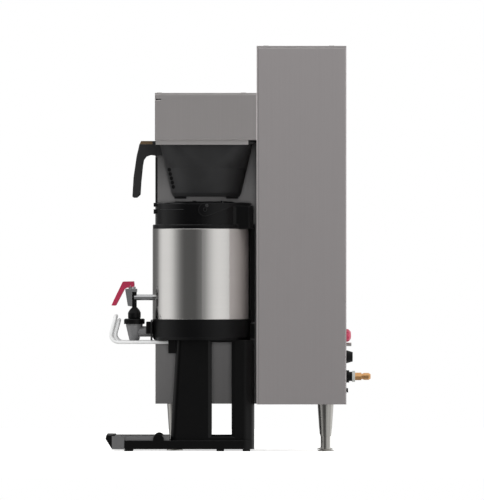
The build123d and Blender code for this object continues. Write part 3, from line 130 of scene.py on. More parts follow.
# %% The ring of cards
# Degrees round the room from the camera's side towards the brewer's rear, and brightness
RING = [
    (-180, 0.45), (-160, 0.16), (-150, 0.12), (-128, 0.18), (-116, 0.55), (-105, 0.74), (-85, 0.74),
    (-74, 0.62), (-62, 0.33), (-52, 0.16), (-42, 0.085), (-15, 0.08), (-4, 0.15), (6, 0.27), (16, 0.48),
    (28, 0.68), (40, 0.75), (55, 0.71), (68, 0.60), (82, 0.62), (96, 0.90), (112, 1.15), (134, 0.90),
    (150, 0.70), (180, 0.50),
]


def fill_ramp(ramp, stops):
    """Stops of (place from 0 to 1, brightness) for a colour ramp."""
    ramp.elements.remove(ramp.elements[1])
    ramp.elements[0].position = stops[0][0]
    ramp.elements[0].color = (*[stops[0][1]] * 3, 1.0)
    for place, brightness in stops[1:]:
        stop = ramp.elements.new(place)
        stop.color = (*[brightness] * 3, 1.0)


print("cards in the ring", len(RING))

# %% [markdown]
# The room itself is a background without walls. The direction in which a mirrored ray leaves the brewer picks
# its card from the ring, or the overhead sheet where it goes up steeply. Light Path keeps the ring out of
# sight: the camera sees plain white, and diffuse surfaces get one even light. The ring stays fixed in the
# room when the brewer is seen from another side.

# %% The room
AMBIENT = 0.85
OVERHEAD = 0.85
OVERHEAD_START = 0.30
OVERHEAD_FULL = 0.75

world = bpy.data.worlds.new("light_tent")
world.use_nodes = True
bpy.context.scene.world = world
sky = world.node_tree
sky.nodes.clear()
sky_out = add(sky, "ShaderNodeOutputWorld", (900, 0))
background = add(sky, "ShaderNodeBackground", (700, 0))
background.inputs["Color"].default_value = (1.0, 1.0, 1.0, 1.0)
direction = add(sky, "ShaderNodeTexCoord", (-900, 0))
parts = add(sky, "ShaderNodeSeparateXYZ", (-700, 0))
sky.links.new(direction.outputs["Generated"], parts.inputs[0])
turn = calculate(sky, "ARCTAN2", parts.outputs["Y"], parts.outputs["X"])
ring_place = calculate(sky, "ADD", calculate(sky, "DIVIDE", turn, math.tau), 0.5)
ring = add(sky, "ShaderNodeValToRGB", (-100, 0))
fill_ramp(ring.color_ramp, [((degrees + 180) / 360, brightness) for degrees, brightness in RING])
sky.links.new(ring_place, ring.inputs[0])
upward = add(sky, "ShaderNodeMapRange", (-100, 300), interpolation_type="SMOOTHSTEP")
upward.inputs["From Min"].default_value = OVERHEAD_START
upward.inputs["From Max"].default_value = OVERHEAD_FULL
sky.links.new(parts.outputs["Z"], upward.inputs["Value"])
overhead = calculate(sky, "MULTIPLY", upward.outputs["Result"], OVERHEAD)
below = calculate(sky, "SUBTRACT", 1.0, upward.outputs["Result"])
walls = calculate(sky, "MULTIPLY", ring.outputs["Color"], below)
cards = calculate(sky, "ADD", walls, overhead)
rays = add(sky, "ShaderNodeLightPath", (-100, -300))
seen = calculate(sky, "MAXIMUM", rays.outputs["Is Camera Ray"], rays.outputs["Is Transmission Ray"])
mirrored = calculate(sky, "MULTIPLY", rays.outputs["Is Glossy Ray"], cards)
lit = calculate(sky, "SUBTRACT", 1.0, calculate(sky, "MAXIMUM", seen, rays.outputs["Is Glossy Ray"]))
ambient = calculate(sky, "MULTIPLY", lit, AMBIENT)
level = calculate(sky, "ADD", calculate(sky, "ADD", seen, mirrored), ambient)
sky.links.new(level, background.inputs["Strength"])
sky.links.new(background.outputs[0], sky_out.inputs["Surface"])
print("nodes in the sky", len(sky.nodes))

# %% [markdown]
# Two large soft lamps give the light a direction: one high in front of the brewer, and a weaker one behind
# it. Small lamps would draw hard shadows that the photograph doesn't have.

# %% The lamps
BREWER_MIDDLE = Vector((0.0, 0.0, 0.5))
LAMP_SIZE = 1.6
FRONT_PLACE = (1.6, -2.4, 2.3)
FRONT_POWER = 26.0
REAR_PLACE = (1.4, 2.6, 1.9)
REAR_POWER = 16.0


def put_lamp(data, place):
    """A lamp at a place, turned to the brewer's middle and left out of reflections."""
    lamp = bpy.data.objects.new(data.name, data)
    lamp.location = place
    lamp.rotation_euler = (BREWER_MIDDLE - Vector(place)).to_track_quat("-Z", "Y").to_euler()
    lamp.visible_glossy = False
    bpy.context.scene.collection.objects.link(lamp)
    return lamp


def soft_lamp(name, place, power):
    """A large square area lamp."""
    data = bpy.data.lights.new(name, "AREA")
    data.size = LAMP_SIZE
    data.energy = power
    put_lamp(data, place)


soft_lamp("front_lamp", FRONT_PLACE, FRONT_POWER)
soft_lamp("rear_lamp", REAR_PLACE, REAR_POWER)
print("lamps", len(bpy.data.lights))

# %% [markdown]
# The servers and the baskets keep most of that light from the column between the bays, and in the photograph
# the column is still a clear grey. So a low sun from each side lights it. Light linking limits the two suns
# to the column, because stronger lamps for all would pale the whole brewer.

# %% The fill light between the bays
FILL_POWER = 3.6
FILL_SPREAD = math.radians(6)
FILL_DISTANCE = 2.5


def bay_fill(name, side, receivers):
    """A low sun from one side that lights only the pieces in a collection."""
    data = bpy.data.lights.new(name, "SUN")
    data.energy = FILL_POWER
    data.angle = FILL_SPREAD
    lamp = put_lamp(data, BREWER_MIDDLE + Vector((side * FILL_DISTANCE, 0, 0)))
    lamp.light_linking.receiver_collection = receivers


between_the_bays = bpy.data.collections.new("lit_by_the_bay_fill")
between_the_bays.objects.link(frame["nodes"]["center_column"])
bay_fill("bay_fill_left", -1, between_the_bays)
bay_fill("bay_fill_right", 1, between_the_bays)

# %% [markdown]
# A pale floor catches the contact shadow in every view that looks down on it. It belongs to the studio and
# not to the object. Mirrored rays pass through it: the legs taper downwards, and a floor in their
# reflections would make them look flat, while the ring of cards shows how round they are.

# %% The floor
FLOOR_HALF = 6.0
FLOOR_DROP = -0.0002
FLOOR_LIFT = 0.6

floor_mesh = bpy.data.meshes.new("floor")
corners = [(FLOOR_HALF * x, FLOOR_HALF * y, FLOOR_DROP) for x, y in ((-1, -1), (1, -1), (1, 1), (-1, 1))]
floor_mesh.from_pydata(corners, [], [(0, 1, 2, 3)])
floor = bpy.data.objects.new("floor", floor_mesh)
bpy.context.scene.collection.objects.link(floor)
floor.visible_glossy = False
floor_paint = bpy.data.materials.new("pale_floor")
floor_paint.use_nodes = True
floor_shader = floor_paint.node_tree.nodes["Principled BSDF"]
floor_shader.inputs["Roughness"].default_value = 0.8
floor_shader.inputs["Specular IOR Level"].default_value = 0.0
floor_shader.inputs["Base Color"].default_value = colour(236, 236, 234)
floor_rays = add(floor_paint.node_tree, "ShaderNodeLightPath", (-600, -200))
lift = calculate(floor_paint.node_tree, "MULTIPLY", floor_rays.outputs["Is Camera Ray"], FLOOR_LIFT)
floor_shader.inputs["Emission Color"].default_value = (1.0, 1.0, 1.0, 1.0)
floor_paint.node_tree.links.new(lift, floor_shader.inputs["Emission Strength"])
floor_mesh.materials.append(floor_paint)
print("floor half width in m", FLOOR_HALF)

# %% [markdown]
# Most real surfaces share a few effects: brushing lines, the fine skin of moulded plastic, uneven patches
# from handling, and edges that catch the light because nothing is truly sharp. Each is a node group with
# named inputs, built once and placed in every material that needs it. Copying the nodes into each material
# would work too, but then a change would have to be made many times.

# %% A helper that opens a node group
def open_group(name, inputs, outputs):
    """A shader group with (name, kind, default) inputs and (name, kind) outputs, and its two end nodes."""
    group = bpy.data.node_groups.new(name, "ShaderNodeTree")
    for label, kind, default in inputs:
        socket = group.interface.new_socket(name=label, in_out="INPUT", socket_type=kind)
        socket.default_value = default
    for label, kind in outputs:
        group.interface.new_socket(name=label, in_out="OUTPUT", socket_type=kind)
    return group, add(group, "NodeGroupInput", (-900, 0)), add(group, "NodeGroupOutput", (900, 0))


NUMBER = "NodeSocketFloat"
VECTOR = "NodeSocketVector"
print("socket kinds", NUMBER, VECTOR)

# %% [markdown]
# Brushed steel has countless short scratches in one direction. They come from noise that is squeezed
# across the brushing and stretched along it. A picture of brushed steel would show its repeats on a panel
# this tall. Two sizes of noise are mixed, because real brushing has fine lines and broader, fainter streaks.

# %% The brushing group
STREAK_DENSITY = 0.13


def build_brushing():
    """Brushing lines from noise that is squeezed by the Stretch vector."""
    group, start, end = open_group(
        "brushing", [("Stretch", VECTOR, (900.0, 900.0, 12.0)), ("Contrast", NUMBER, 0.5)],
        [("Lines", NUMBER), ("Streaks", NUMBER)],
    )
    place = add(group, "ShaderNodeTexCoord", (-900, -250))
    squeezed = add(group, "ShaderNodeVectorMath", (-600, 0), operation="MULTIPLY")
    group.links.new(place.outputs["Object"], squeezed.inputs[0])
    group.links.new(start.outputs["Stretch"], squeezed.inputs[1])
    for label, density, drop in (("Lines", 1.0, 0), ("Streaks", STREAK_DENSITY, 300)):
        scaled = add(group, "ShaderNodeVectorMath", (-400, -drop), operation="SCALE")
        scaled.inputs["Scale"].default_value = density
        group.links.new(squeezed.outputs[0], scaled.inputs[0])
        noise = add(group, "ShaderNodeTexNoise", (-200, -drop))
        noise.inputs["Scale"].default_value = 1.0
        noise.inputs["Detail"].default_value = 3.0
        group.links.new(scaled.outputs[0], noise.inputs["Vector"])
        centred = calculate(group, "SUBTRACT", noise.outputs["Fac"], 0.5)
        spread = calculate(group, "MULTIPLY", centred, start.outputs["Contrast"])
        group.links.new(calculate(group, "ADD", spread, 0.5), end.inputs[label])
    return group


brushing = build_brushing()
print("group", brushing.name)

# %% [markdown]
# Plastic mouldings carry a fine spark-eroded skin from their mould, and every handled surface has larger,
# softer patches where it is a little shinier or duller. Both are noise at the size of the real effect:
# under a millimetre for the skin, several centimetres for the patches.

# %% The skin and patches group
def build_skin():
    """A fine moulded skin and the soft patches that handling leaves."""
    group, start, end = open_group(
        "skin_and_patches", [("Grain Size", NUMBER, 0.0008), ("Patch Size", NUMBER, 0.05)],
        [("Skin", NUMBER), ("Patches", NUMBER)],
    )
    place = add(group, "ShaderNodeTexCoord", (-900, -250))
    for label, source, detail, drop in (("Skin", "Grain Size", 2.0, 0), ("Patches", "Patch Size", 4.0, 300)):
        density = calculate(group, "DIVIDE", 1.0, start.outputs[source])
        noise = add(group, "ShaderNodeTexNoise", (-200, -drop))
        noise.inputs["Detail"].default_value = detail
        group.links.new(density, noise.inputs["Scale"])
        group.links.new(place.outputs["Object"], noise.inputs["Vector"])
        group.links.new(noise.outputs["Fac"], end.inputs[label])
    return group


skin_and_patches = build_skin()
print("group", skin_and_patches.name)

# %% [markdown]
# No real edge is sharp: a folded sheet has a small bend radius and a moulding a soft corner, and both
# catch the light and wear first. The Bevel node finds edges while it renders and bends the surface's normal
# round them. Comparing that rounded normal with the flat one gives a mask of the edges, which the finishes
# paint paler, partly as wear and partly as painted highlight. Cutting real bevels would change the CAD
# meshes, which have to stay as they are.

# %% The edges group
def build_edges():
    """The rounded normal near edges and a mask of the edges themselves."""
    inputs = [("Radius", NUMBER, 0.0012), ("Sharpness", NUMBER, 6.0)]
    group, start, end = open_group("edges", inputs, [("Normal", VECTOR), ("Edge", NUMBER)])
    rounded = add(group, "ShaderNodeBevel", (-600, 0), samples=6)
    group.links.new(start.outputs["Radius"], rounded.inputs["Radius"])
    flat = add(group, "ShaderNodeNewGeometry", (-600, -250))
    both = add(group, "ShaderNodeVectorMath", (-300, -100), operation="DOT_PRODUCT")
    group.links.new(rounded.outputs[0], both.inputs[0])
    group.links.new(flat.outputs["Normal"], both.inputs[1])
    apart = calculate(group, "SUBTRACT", 1.0, both.outputs["Value"])
    group.links.new(rounded.outputs[0], end.inputs["Normal"])
    group.links.new(
        calculate(group, "MULTIPLY", apart, start.outputs["Sharpness"], clamp=True), end.inputs["Edge"]
    )
    return group


edges = build_edges()
print("group", edges.name)

# %% [markdown]
# Every finish below is put together in the same order: a base colour that varies a little, a roughness
# that follows the same marks, and a bump for what a finger would feel. These helpers are the single steps.
# Wiring each material by hand would work too, but it would hide how few steps there are.

# %% The steps of a finish
# A Mix node has sockets of several kinds under the same names, so its colour sockets go by number
MIX_FIRST = 6
MIX_SECOND = 7
MIX_RESULT = 2


def place_group(tree, group, place, **values):
    """A node group placed in a material with its own values."""
    node = add(tree, "ShaderNodeGroup", place, node_tree=group)
    for label, value in values.items():
        node.inputs[label.replace("_", " ")].default_value = value
    return node


def vary(tree, amount, dark, light):
    """A colour that runs from dark to light with a value."""
    mix = add(tree, "ShaderNodeMix", (0, 0), data_type="RGBA")
    mix.inputs[MIX_FIRST].default_value = dark
    mix.inputs[MIX_SECOND].default_value = light
    tree.links.new(amount, mix.inputs[0])
    return mix.outputs[MIX_RESULT]


def between(tree, amount, low, high):
    """A number that runs from low to high with a value from 0 to 1."""
    ramp = add(tree, "ShaderNodeMapRange", (0, 0))
    ramp.inputs["To Min"].default_value = low
    ramp.inputs["To Max"].default_value = high
    tree.links.new(amount, ramp.inputs["Value"])
    return ramp.outputs["Result"]


def bump(tree, height, normal, distance, strength):
    """A bump from a height, over an already rounded normal."""
    node = add(tree, "ShaderNodeBump", (300, -300))
    node.inputs["Strength"].default_value = strength
    node.inputs["Distance"].default_value = distance
    tree.links.new(height, node.inputs["Height"])
    tree.links.new(normal, node.inputs["Normal"])
    return node.outputs[0]


print("a Mix node gives its colour in output", MIX_RESULT)

# %% [markdown]
# A few finishes change along their piece, such as a seal of another colour, and a side painted darker as
# painted shade. For those, a mask is made from the place on the piece, and another colour goes over the
# finish where the mask is 1. The finishes are kept in a list under the names of their slots, so that they
# can be handed out at the end.

# %% Masks, and the list of finishes
def shader_of(material):
    """The Principled shader of a material."""
    return material.node_tree.nodes["Principled BSDF"]


def cover(material, mask, shade):
    """Lays another colour over a finish where a mask is 1."""
    tree = material.node_tree
    base = shader_of(material).inputs["Base Color"]
    mix = add(tree, "ShaderNodeMix", (100, 200), data_type="RGBA")
    tree.links.new(base.links[0].from_socket, mix.inputs[MIX_FIRST])
    mix.inputs[MIX_SECOND].default_value = shade
    tree.links.new(mask, mix.inputs[0])
    tree.links.new(mix.outputs[MIX_RESULT], base)


def place_on(material, axis):
    """How far along X, Y or Z a point of the piece lies, in metres."""
    tree = material.node_tree
    place = add(tree, "ShaderNodeTexCoord", (-1300, 300))
    split = add(tree, "ShaderNodeSeparateXYZ", (-1100, 300))
    tree.links.new(place.outputs["Object"], split.inputs[0])
    return split.outputs[axis]


def fade(material, axis, start, end, most):
    """A mask that grows from 0 to its most between two places along an axis of the piece."""
    ramp = add(material.node_tree, "ShaderNodeMapRange", (-900, 500))
    ramp.inputs["From Min"].default_value = start
    ramp.inputs["From Max"].default_value = end
    ramp.inputs["To Max"].default_value = most
    material.node_tree.links.new(place_on(material, axis), ramp.inputs["Value"])
    return ramp.outputs["Result"]


finishes = {}


def start_finish(name, slot):
    """An empty material with its Principled shader, kept under the name of its slot."""
    material = bpy.data.materials.new(name)
    material.use_nodes = True
    finishes[slot] = material
    return material, material.node_tree, shader_of(material)


print("finishes so far", len(finishes))

# %% [markdown]
# Bare metal takes nearly all its looks from the marks on it. The brushing lines, the broader streaks and
# the patches from handling are added up. The sum makes the colour run from dark to light, with the edges
# added as wear and painted highlight, and where it is lighter the metal is also smoother. Only the lines
# are deep enough for a bump.

# %% Brushed metal
LINE_SHARE = 0.45
STREAK_SHARE = 0.35
STAIN_SHARE = 0.2
# How much the edges are painted lighter, partly as wear and partly as painted highlight
METAL_WEAR_AND_HIGHLIGHT = 0.5
METAL_ROUGH_RANGE = 0.05
LINE_DEPTH = 0.00002
LINE_STRENGTH = 0.6


def brushed_metal(name, slot, dark, light, rough, stretch, contrast, radius=0.0012):
    """Bare metal with brushing lines, streaks, and edges painted a little brighter as wear and painted
    highlight. The radius is in metres.
    """
    material, tree, shader = start_finish(name, slot)
    lines = place_group(tree, brushing, (-900, 0), Stretch=stretch, Contrast=contrast)
    patches = place_group(tree, skin_and_patches, (-900, -300), Grain_Size=0.004, Patch_Size=0.11)
    edge = place_group(tree, edges, (-900, -600), Radius=radius, Sharpness=4.0)
    brushed = calculate(tree, "ADD", calculate(tree, "MULTIPLY", lines.outputs["Lines"], LINE_SHARE),
                        calculate(tree, "MULTIPLY", lines.outputs["Streaks"], STREAK_SHARE))
    stains = calculate(tree, "MULTIPLY", patches.outputs["Patches"], STAIN_SHARE)
    marks = calculate(tree, "ADD", brushed, stains)
    # Painted highlight and wear: the edge mask lightens the colour
    edge_wear_and_highlight = calculate(tree, "MULTIPLY", edge.outputs["Edge"], METAL_WEAR_AND_HIGHLIGHT)
    marks_wear_and_highlight = calculate(tree, "ADD", marks, edge_wear_and_highlight, clamp=True)
    tree.links.new(vary(tree, marks_wear_and_highlight, dark, light), shader.inputs["Base Color"])
    roughness = between(tree, marks, rough + METAL_ROUGH_RANGE, rough - METAL_ROUGH_RANGE)
    tree.links.new(roughness, shader.inputs["Roughness"])
    normal = bump(tree, lines.outputs["Lines"], edge.outputs["Normal"], LINE_DEPTH, LINE_STRENGTH)
    tree.links.new(normal, shader.inputs["Normal"])
    shader.inputs["Metallic"].default_value = 1.0
    return material


print("share of brushing in the marks", LINE_SHARE + STREAK_SHARE)

# %% [markdown]
# A moulding has no lines, only its skin and its patches, and its colour hardly changes. What shows is where
# it shines: hands polish it in patches, and its edges are painted pale, partly as wear and partly as painted
# highlight. A coat on top is for what is glossy. Glass and the guard's rod, painted pale as its reflection,
# are made the same way, with next to no skin.

# %% Mouldings
PATCH_SHARE = 0.7
SKIN_SHARE = 0.3
# How much the edges are painted paler, partly as wear and partly as painted highlight
MOULDING_WEAR_AND_HIGHLIGHT = 0.6
MOULDING_ROUGH_RANGE = 0.08
SKIN_STRENGTH = 0.7
COAT_ROUGHNESS = 0.08


def moulded(
    name, slot, dark, light, rough, grain, skin_depth, radius=0.0008, coat=0.0, gloss=0.5, worn_and_highlit_edge=None
):
    """A smooth or moulded surface with skin, patches, and edges painted paler as wear and painted highlight.
    Its sizes are in metres.
    """
    material, tree, shader = start_finish(name, slot)
    skin = place_group(tree, skin_and_patches, (-900, 0), Grain_Size=grain, Patch_Size=0.045)
    edge = place_group(tree, edges, (-900, -400), Radius=radius, Sharpness=3.0)
    marks = calculate(tree, "ADD", calculate(tree, "MULTIPLY", skin.outputs["Patches"], PATCH_SHARE),
                      calculate(tree, "MULTIPLY", skin.outputs["Skin"], SKIN_SHARE))
    # Painted highlight and wear: the edge mask makes the colour paler
    edge_wear_and_highlight = calculate(tree, "MULTIPLY", edge.outputs["Edge"], MOULDING_WEAR_AND_HIGHLIGHT)
    marks_wear_and_highlight = calculate(tree, "ADD", marks, edge_wear_and_highlight, clamp=True)
    tree.links.new(vary(tree, marks_wear_and_highlight, dark, light), shader.inputs["Base Color"])
    # Painted highlight and wear: a paler colour laid over the edges
    if worn_and_highlit_edge:
        cover(material, edge.outputs["Edge"], worn_and_highlit_edge)
    roughness = between(tree, marks, rough + MOULDING_ROUGH_RANGE, rough - MOULDING_ROUGH_RANGE)
    tree.links.new(roughness, shader.inputs["Roughness"])
    normal = bump(tree, skin.outputs["Skin"], edge.outputs["Normal"], skin_depth, SKIN_STRENGTH)
    tree.links.new(normal, shader.inputs["Normal"])
    shader.inputs["Specular IOR Level"].default_value = gloss
    if coat:
        shader.inputs["Coat Weight"].default_value = coat
        shader.inputs["Coat Roughness"].default_value = COAT_ROUGHNESS
    return material


print("share of patches in the marks", PATCH_SHARE)

# %% [markdown]
# The tower, the head and the column are satin stainless sheet, brushed upright. The steel is grey rather
# than white because it mirrors the grey side of the room softly. Its streaks are long and faint. The tower
# and the column get sheets of their own further down, so what all three share has a function.

# %% Satin stainless sheet
UPRIGHT = (1400.0, 1400.0, 9.0)


def satin_sheet(name, slot, dark, light):
    """Satin stainless sheet that is brushed upright and folded with a small radius."""
    return brushed_metal(name, slot, dark, light, rough=0.46, stretch=UPRIGHT, contrast=0.7, radius=0.0024)


satin_sheet("satin_stainless_sheet", "brushed_stainless", colour(214, 209, 208), colour(232, 227, 226))
print("added", finishes["brushed_stainless"].name)

# %% [markdown]
# The servers' jackets are brighter and smoother than the cabinet. They are brushed round and round, as a
# tube is on a lathe, so their lines lie level and the reflections stand upright. The tank inside is plain
# mill-finished steel, and the leg tubes are turned, with coarser marks.

# %% Jacket, tank and leg steel
brushed_metal(
    "jacket_stainless", "jacket_steel", colour(224, 222, 219), colour(246, 244, 241),
    rough=0.15, stretch=(18.0, 18.0, 2200.0), contrast=0.6, radius=0.0024,
)
brushed_metal(
    "mill_finished_steel", "tank_steel", colour(168, 167, 165), colour(196, 195, 192),
    rough=0.42, stretch=(90.0, 90.0, 60.0), contrast=0.8,
)
brushed_metal(
    "turned_leg_steel", "leg_steel", colour(172, 170, 165), colour(206, 204, 199),
    rough=0.32, stretch=(40.0, 40.0, 1500.0), contrast=0.7, radius=0.0006,
)
print("metals", len(finishes))

# %% [markdown]
# The bright fittings are chromed: nearly a mirror, with only the faintest lines. The water inlet is
# machined brass that has dulled a little, so its colour runs from clean gold to a browner tone in patches.

# %% Chrome and brass
brushed_metal(
    "chrome_plate", "chrome", colour(196, 197, 199), colour(222, 223, 225),
    rough=0.12, stretch=(60.0, 60.0, 60.0), contrast=0.3, radius=0.0006,
)
brushed_metal(
    "machined_brass", "brass", colour(226, 164, 104), colour(250, 204, 148),
    rough=0.34, stretch=(60.0, 1800.0, 60.0), contrast=0.9, radius=0.0004,
)
print("metals", len(finishes))

# %% [markdown]
# Black mouldings aren't pure black. They take a grey sheen from the tent, more where hands have polished
# them. The servers' bases, the trays' grilles, the faucets' bonnets and the small fittings share one satin
# finish. The baskets are duller and a touch paler, and the column's front panel is glossy.

# %% Black mouldings
# Painted highlight and wear: the edges are painted grey
moulded(
    "satin_black_moulding", "black_plastic", colour(5, 5, 6), colour(14, 14, 15),
    rough=0.38, grain=0.0007, skin_depth=0.00008, gloss=0.2, worn_and_highlit_edge=colour(60, 60, 61),
)
moulded(
    "matt_basket_black", "basket_black", colour(30, 30, 31), colour(50, 50, 51),
    rough=0.5, grain=0.0009, skin_depth=0.00012, gloss=0.3,
)
moulded(
    "gloss_black_panel", "black_gloss", colour(10, 10, 11), colour(22, 22, 24),
    rough=0.22, grain=0.003, skin_depth=0.00001, coat=0.3,
)
print("finishes", len(finishes))

# %% [markdown]
# The coloured mouldings are small but they catch the eye: the red taps, the amber inserts in the basket
# handles, the grey drip trays and faucets. Red and amber are glossy and a little deeper in their patches.

# %% Coloured mouldings
moulded(
    "red_tap_plastic", "red_plastic", colour(158, 26, 62), colour(190, 42, 82),
    rough=0.30, grain=0.002, skin_depth=0.00002, coat=0.4,
)
# Painted highlight and wear: the insert's edges are painted pale
moulded(
    "amber_plastic", "amber_plastic", colour(84, 64, 40), colour(112, 92, 64),
    rough=0.32, grain=0.002, skin_depth=0.00002, radius=0.0012, coat=0.3, worn_and_highlit_edge=colour(160, 150, 132),
)
moulded(
    "grey_tray_plastic", "grey_plastic", colour(86, 86, 87), colour(112, 112, 113),
    rough=0.45, grain=0.0008, skin_depth=0.00008,
)
moulded(
    "grey_faucet_plastic", "faucet_grey", colour(104, 104, 105), colour(130, 130, 132),
    rough=0.28, grain=0.002, skin_depth=0.00002, coat=0.2,
)
print("finishes", len(finishes))

# %% [markdown]
# The last finishes for slots don't show from the side: white valve bodies, milky silicone hoses, the circuit
# board with its green coating, and the dark glass of the screen in front, which is switched off.

# %% Inner finishes and the screen
moulded(
    "white_valve_plastic", "white_plastic", colour(206, 205, 198), colour(226, 225, 219),
    rough=0.4, grain=0.0009, skin_depth=0.00006,
)
moulded(
    "milky_silicone", "clear_silicone", colour(200, 199, 190), colour(220, 219, 210),
    rough=0.35, grain=0.002, skin_depth=0.00003,
)
moulded(
    "coated_board", "circuit_board", colour(28, 92, 44), colour(44, 118, 60),
    rough=0.35, grain=0.0015, skin_depth=0.00004, coat=0.3,
)
moulded(
    "dark_screen_glass", "screen_glass", colour(8, 9, 11), colour(16, 17, 20),
    rough=0.08, grain=0.01, skin_depth=0.000002, coat=0.5,
)
print("finishes", len(finishes))

# %% [markdown]
# Some pieces share a plastic or a metal with others and still look different. The collar, lid and bail of a
# server are polished, so their edges draw thin light lines, and those edges are also painted grey, partly as
# wear and partly as painted highlight. The stands are a deeper black with a sheen on their round corners,
# and their edges are painted grey the same way. The guard in front of a faucet is polished rod, and its
# near-white colour is painted reflection: a thin round rod gathers light from all the room. The drain knob's
# red is brighter than the taps'. These get finishes of their own, under names that aren't slots.

# %% Finishes of single pieces
# Painted highlight and wear: the polished edges are painted grey
moulded(
    "polished_black_moulding", "polished_black", colour(5, 5, 6), colour(14, 14, 15),
    rough=0.20, grain=0.0012, skin_depth=0.00002, radius=0.0016, gloss=0.2, worn_and_highlit_edge=colour(70, 70, 71),
)
# Painted reflection: near white stands in for the room that the polished rod mirrors
moulded(
    "pale_guard_rod", "pale_rod", colour(232, 233, 234), colour(250, 250, 250),
    rough=0.30, grain=0.003, skin_depth=0.00001, coat=0.5,
)
moulded(
    "red_knob_plastic", "bright_red", colour(196, 50, 86), colour(222, 84, 116),
    rough=0.30, grain=0.002, skin_depth=0.00002, coat=0.5,
)
# Painted highlight and wear: the stand's edges are painted grey
moulded(
    "stand_black_moulding", "stand_black", colour(1, 1, 1), colour(5, 5, 6),
    rough=0.34, grain=0.0007, skin_depth=0.00008, gloss=0.28, worn_and_highlit_edge=colour(60, 60, 61),
)
print("finishes", len(finishes))

# %% [markdown]
# The tower is the same sheet as the head, but its side is painted a little darker towards the counter, as
# painted shade where less of the bright ceiling reaches it, and its rolled front corner is painted darker
# towards the bay, as painted shade. Its front faces the bays, and satin steel that only mirrored there would
# show nothing but the black servers. Real satin steel also scatters some light, so the front scatters more
# and mirrors less. More lamps in the bays could do it, but they would show in the servers.

# %% Tower sheet
TOWER_TOP = 0.915
TOWER_FOOT = 0.106
TOWER_PAINTED_SHADE = 0.22
TOWER_FRONT = 0.0432
TOWER_CORNER = 0.0475
CORNER_PAINTED_SHADE = 0.55
BAY_MIRROR = 0.45

tower_sheet = satin_sheet("satin_sheet_of_the_tower", "tower_sheet", colour(226, 220, 220),
                          colour(243, 237, 237))
tower_tree = tower_sheet.node_tree
# Painted shade: the side darkens towards the counter
cover(tower_sheet, fade(tower_sheet, "Z", TOWER_TOP, TOWER_FOOT, TOWER_PAINTED_SHADE), colour(150, 146, 146))
behind = calculate(tower_tree, "GREATER_THAN", place_on(tower_sheet, "Y"), TOWER_FRONT)
corner = fade(tower_sheet, "Y", TOWER_CORNER, TOWER_FRONT, CORNER_PAINTED_SHADE)
# Painted shade: the rolled front corner darkens towards the bay
cover(tower_sheet, calculate(tower_tree, "MULTIPLY", corner, behind), colour(120, 117, 117))
mirror = between(tower_tree, behind, BAY_MIRROR, 1.0)
tower_tree.links.new(mirror, shader_of(tower_sheet).inputs["Metallic"])
print("tower sheet", tower_sheet.name)

# %% [markdown]
# The column between the bays is painted darker than the tower, as painted shade of the bays, and scatters
# light like the tower's front. Its sides are painted darker still under the head, as painted shade, and its
# narrow front face keeps the pale tone of the head's steel. The rails under the head are the same steel as
# the tower, a little lighter and brushed along their length.

# %% Column and rail sheet
COLUMN_FRONT = -0.1872
SHADE_START = 0.590
SHADE_END = 0.680
PAINTED_HEAD_SHADE = 0.7
ALONG_RAILS = (1400.0, 9.0, 1400.0)

# Painted shade: the sides take a darker colour than the head's steel, for the shade between the bays
column_sheet = satin_sheet("satin_sheet_of_the_column", "column_sheet", colour(96, 95, 95),
                           colour(111, 110, 110))
shader_of(column_sheet).inputs["Metallic"].default_value = BAY_MIRROR
# Painted shade: the sides darken further under the head
cover(column_sheet, fade(column_sheet, "Z", SHADE_START, SHADE_END, PAINTED_HEAD_SHADE), colour(40, 40, 40))
on_front = calculate(column_sheet.node_tree, "LESS_THAN", place_on(column_sheet, "Y"), COLUMN_FRONT)
cover(column_sheet, on_front, colour(206, 202, 201))
brushed_metal(
    "satin_sheet_of_the_rails", "rail_sheet", colour(226, 222, 220), colour(250, 246, 244),
    rough=0.44, stretch=ALONG_RAILS, contrast=0.7,
)
print("column and rail sheet", column_sheet.name)

# %% [markdown]
# Three small details are masks too, so they stay in their place when the piece moves. The first is a row of
# small dark vents down the front corner of the basket. Cutting them as holes would work too, but in the
# photograph each is only a few pixels wide, and a mask of dull black ovals, painted shade where the holes
# would be dark, shows them as well.

# %% The vents group
# Where the row begins and ends, along Y and Z
VENT_TOP = (-0.1556, 0.6357)
VENT_BOTTOM = (-0.1466, 0.5970)
VENT_COUNT = 5
VENT_HALF_WIDTH = 0.0042
VENT_HALF_LENGTH = 0.0050
VENT_SOFTNESS = 0.3


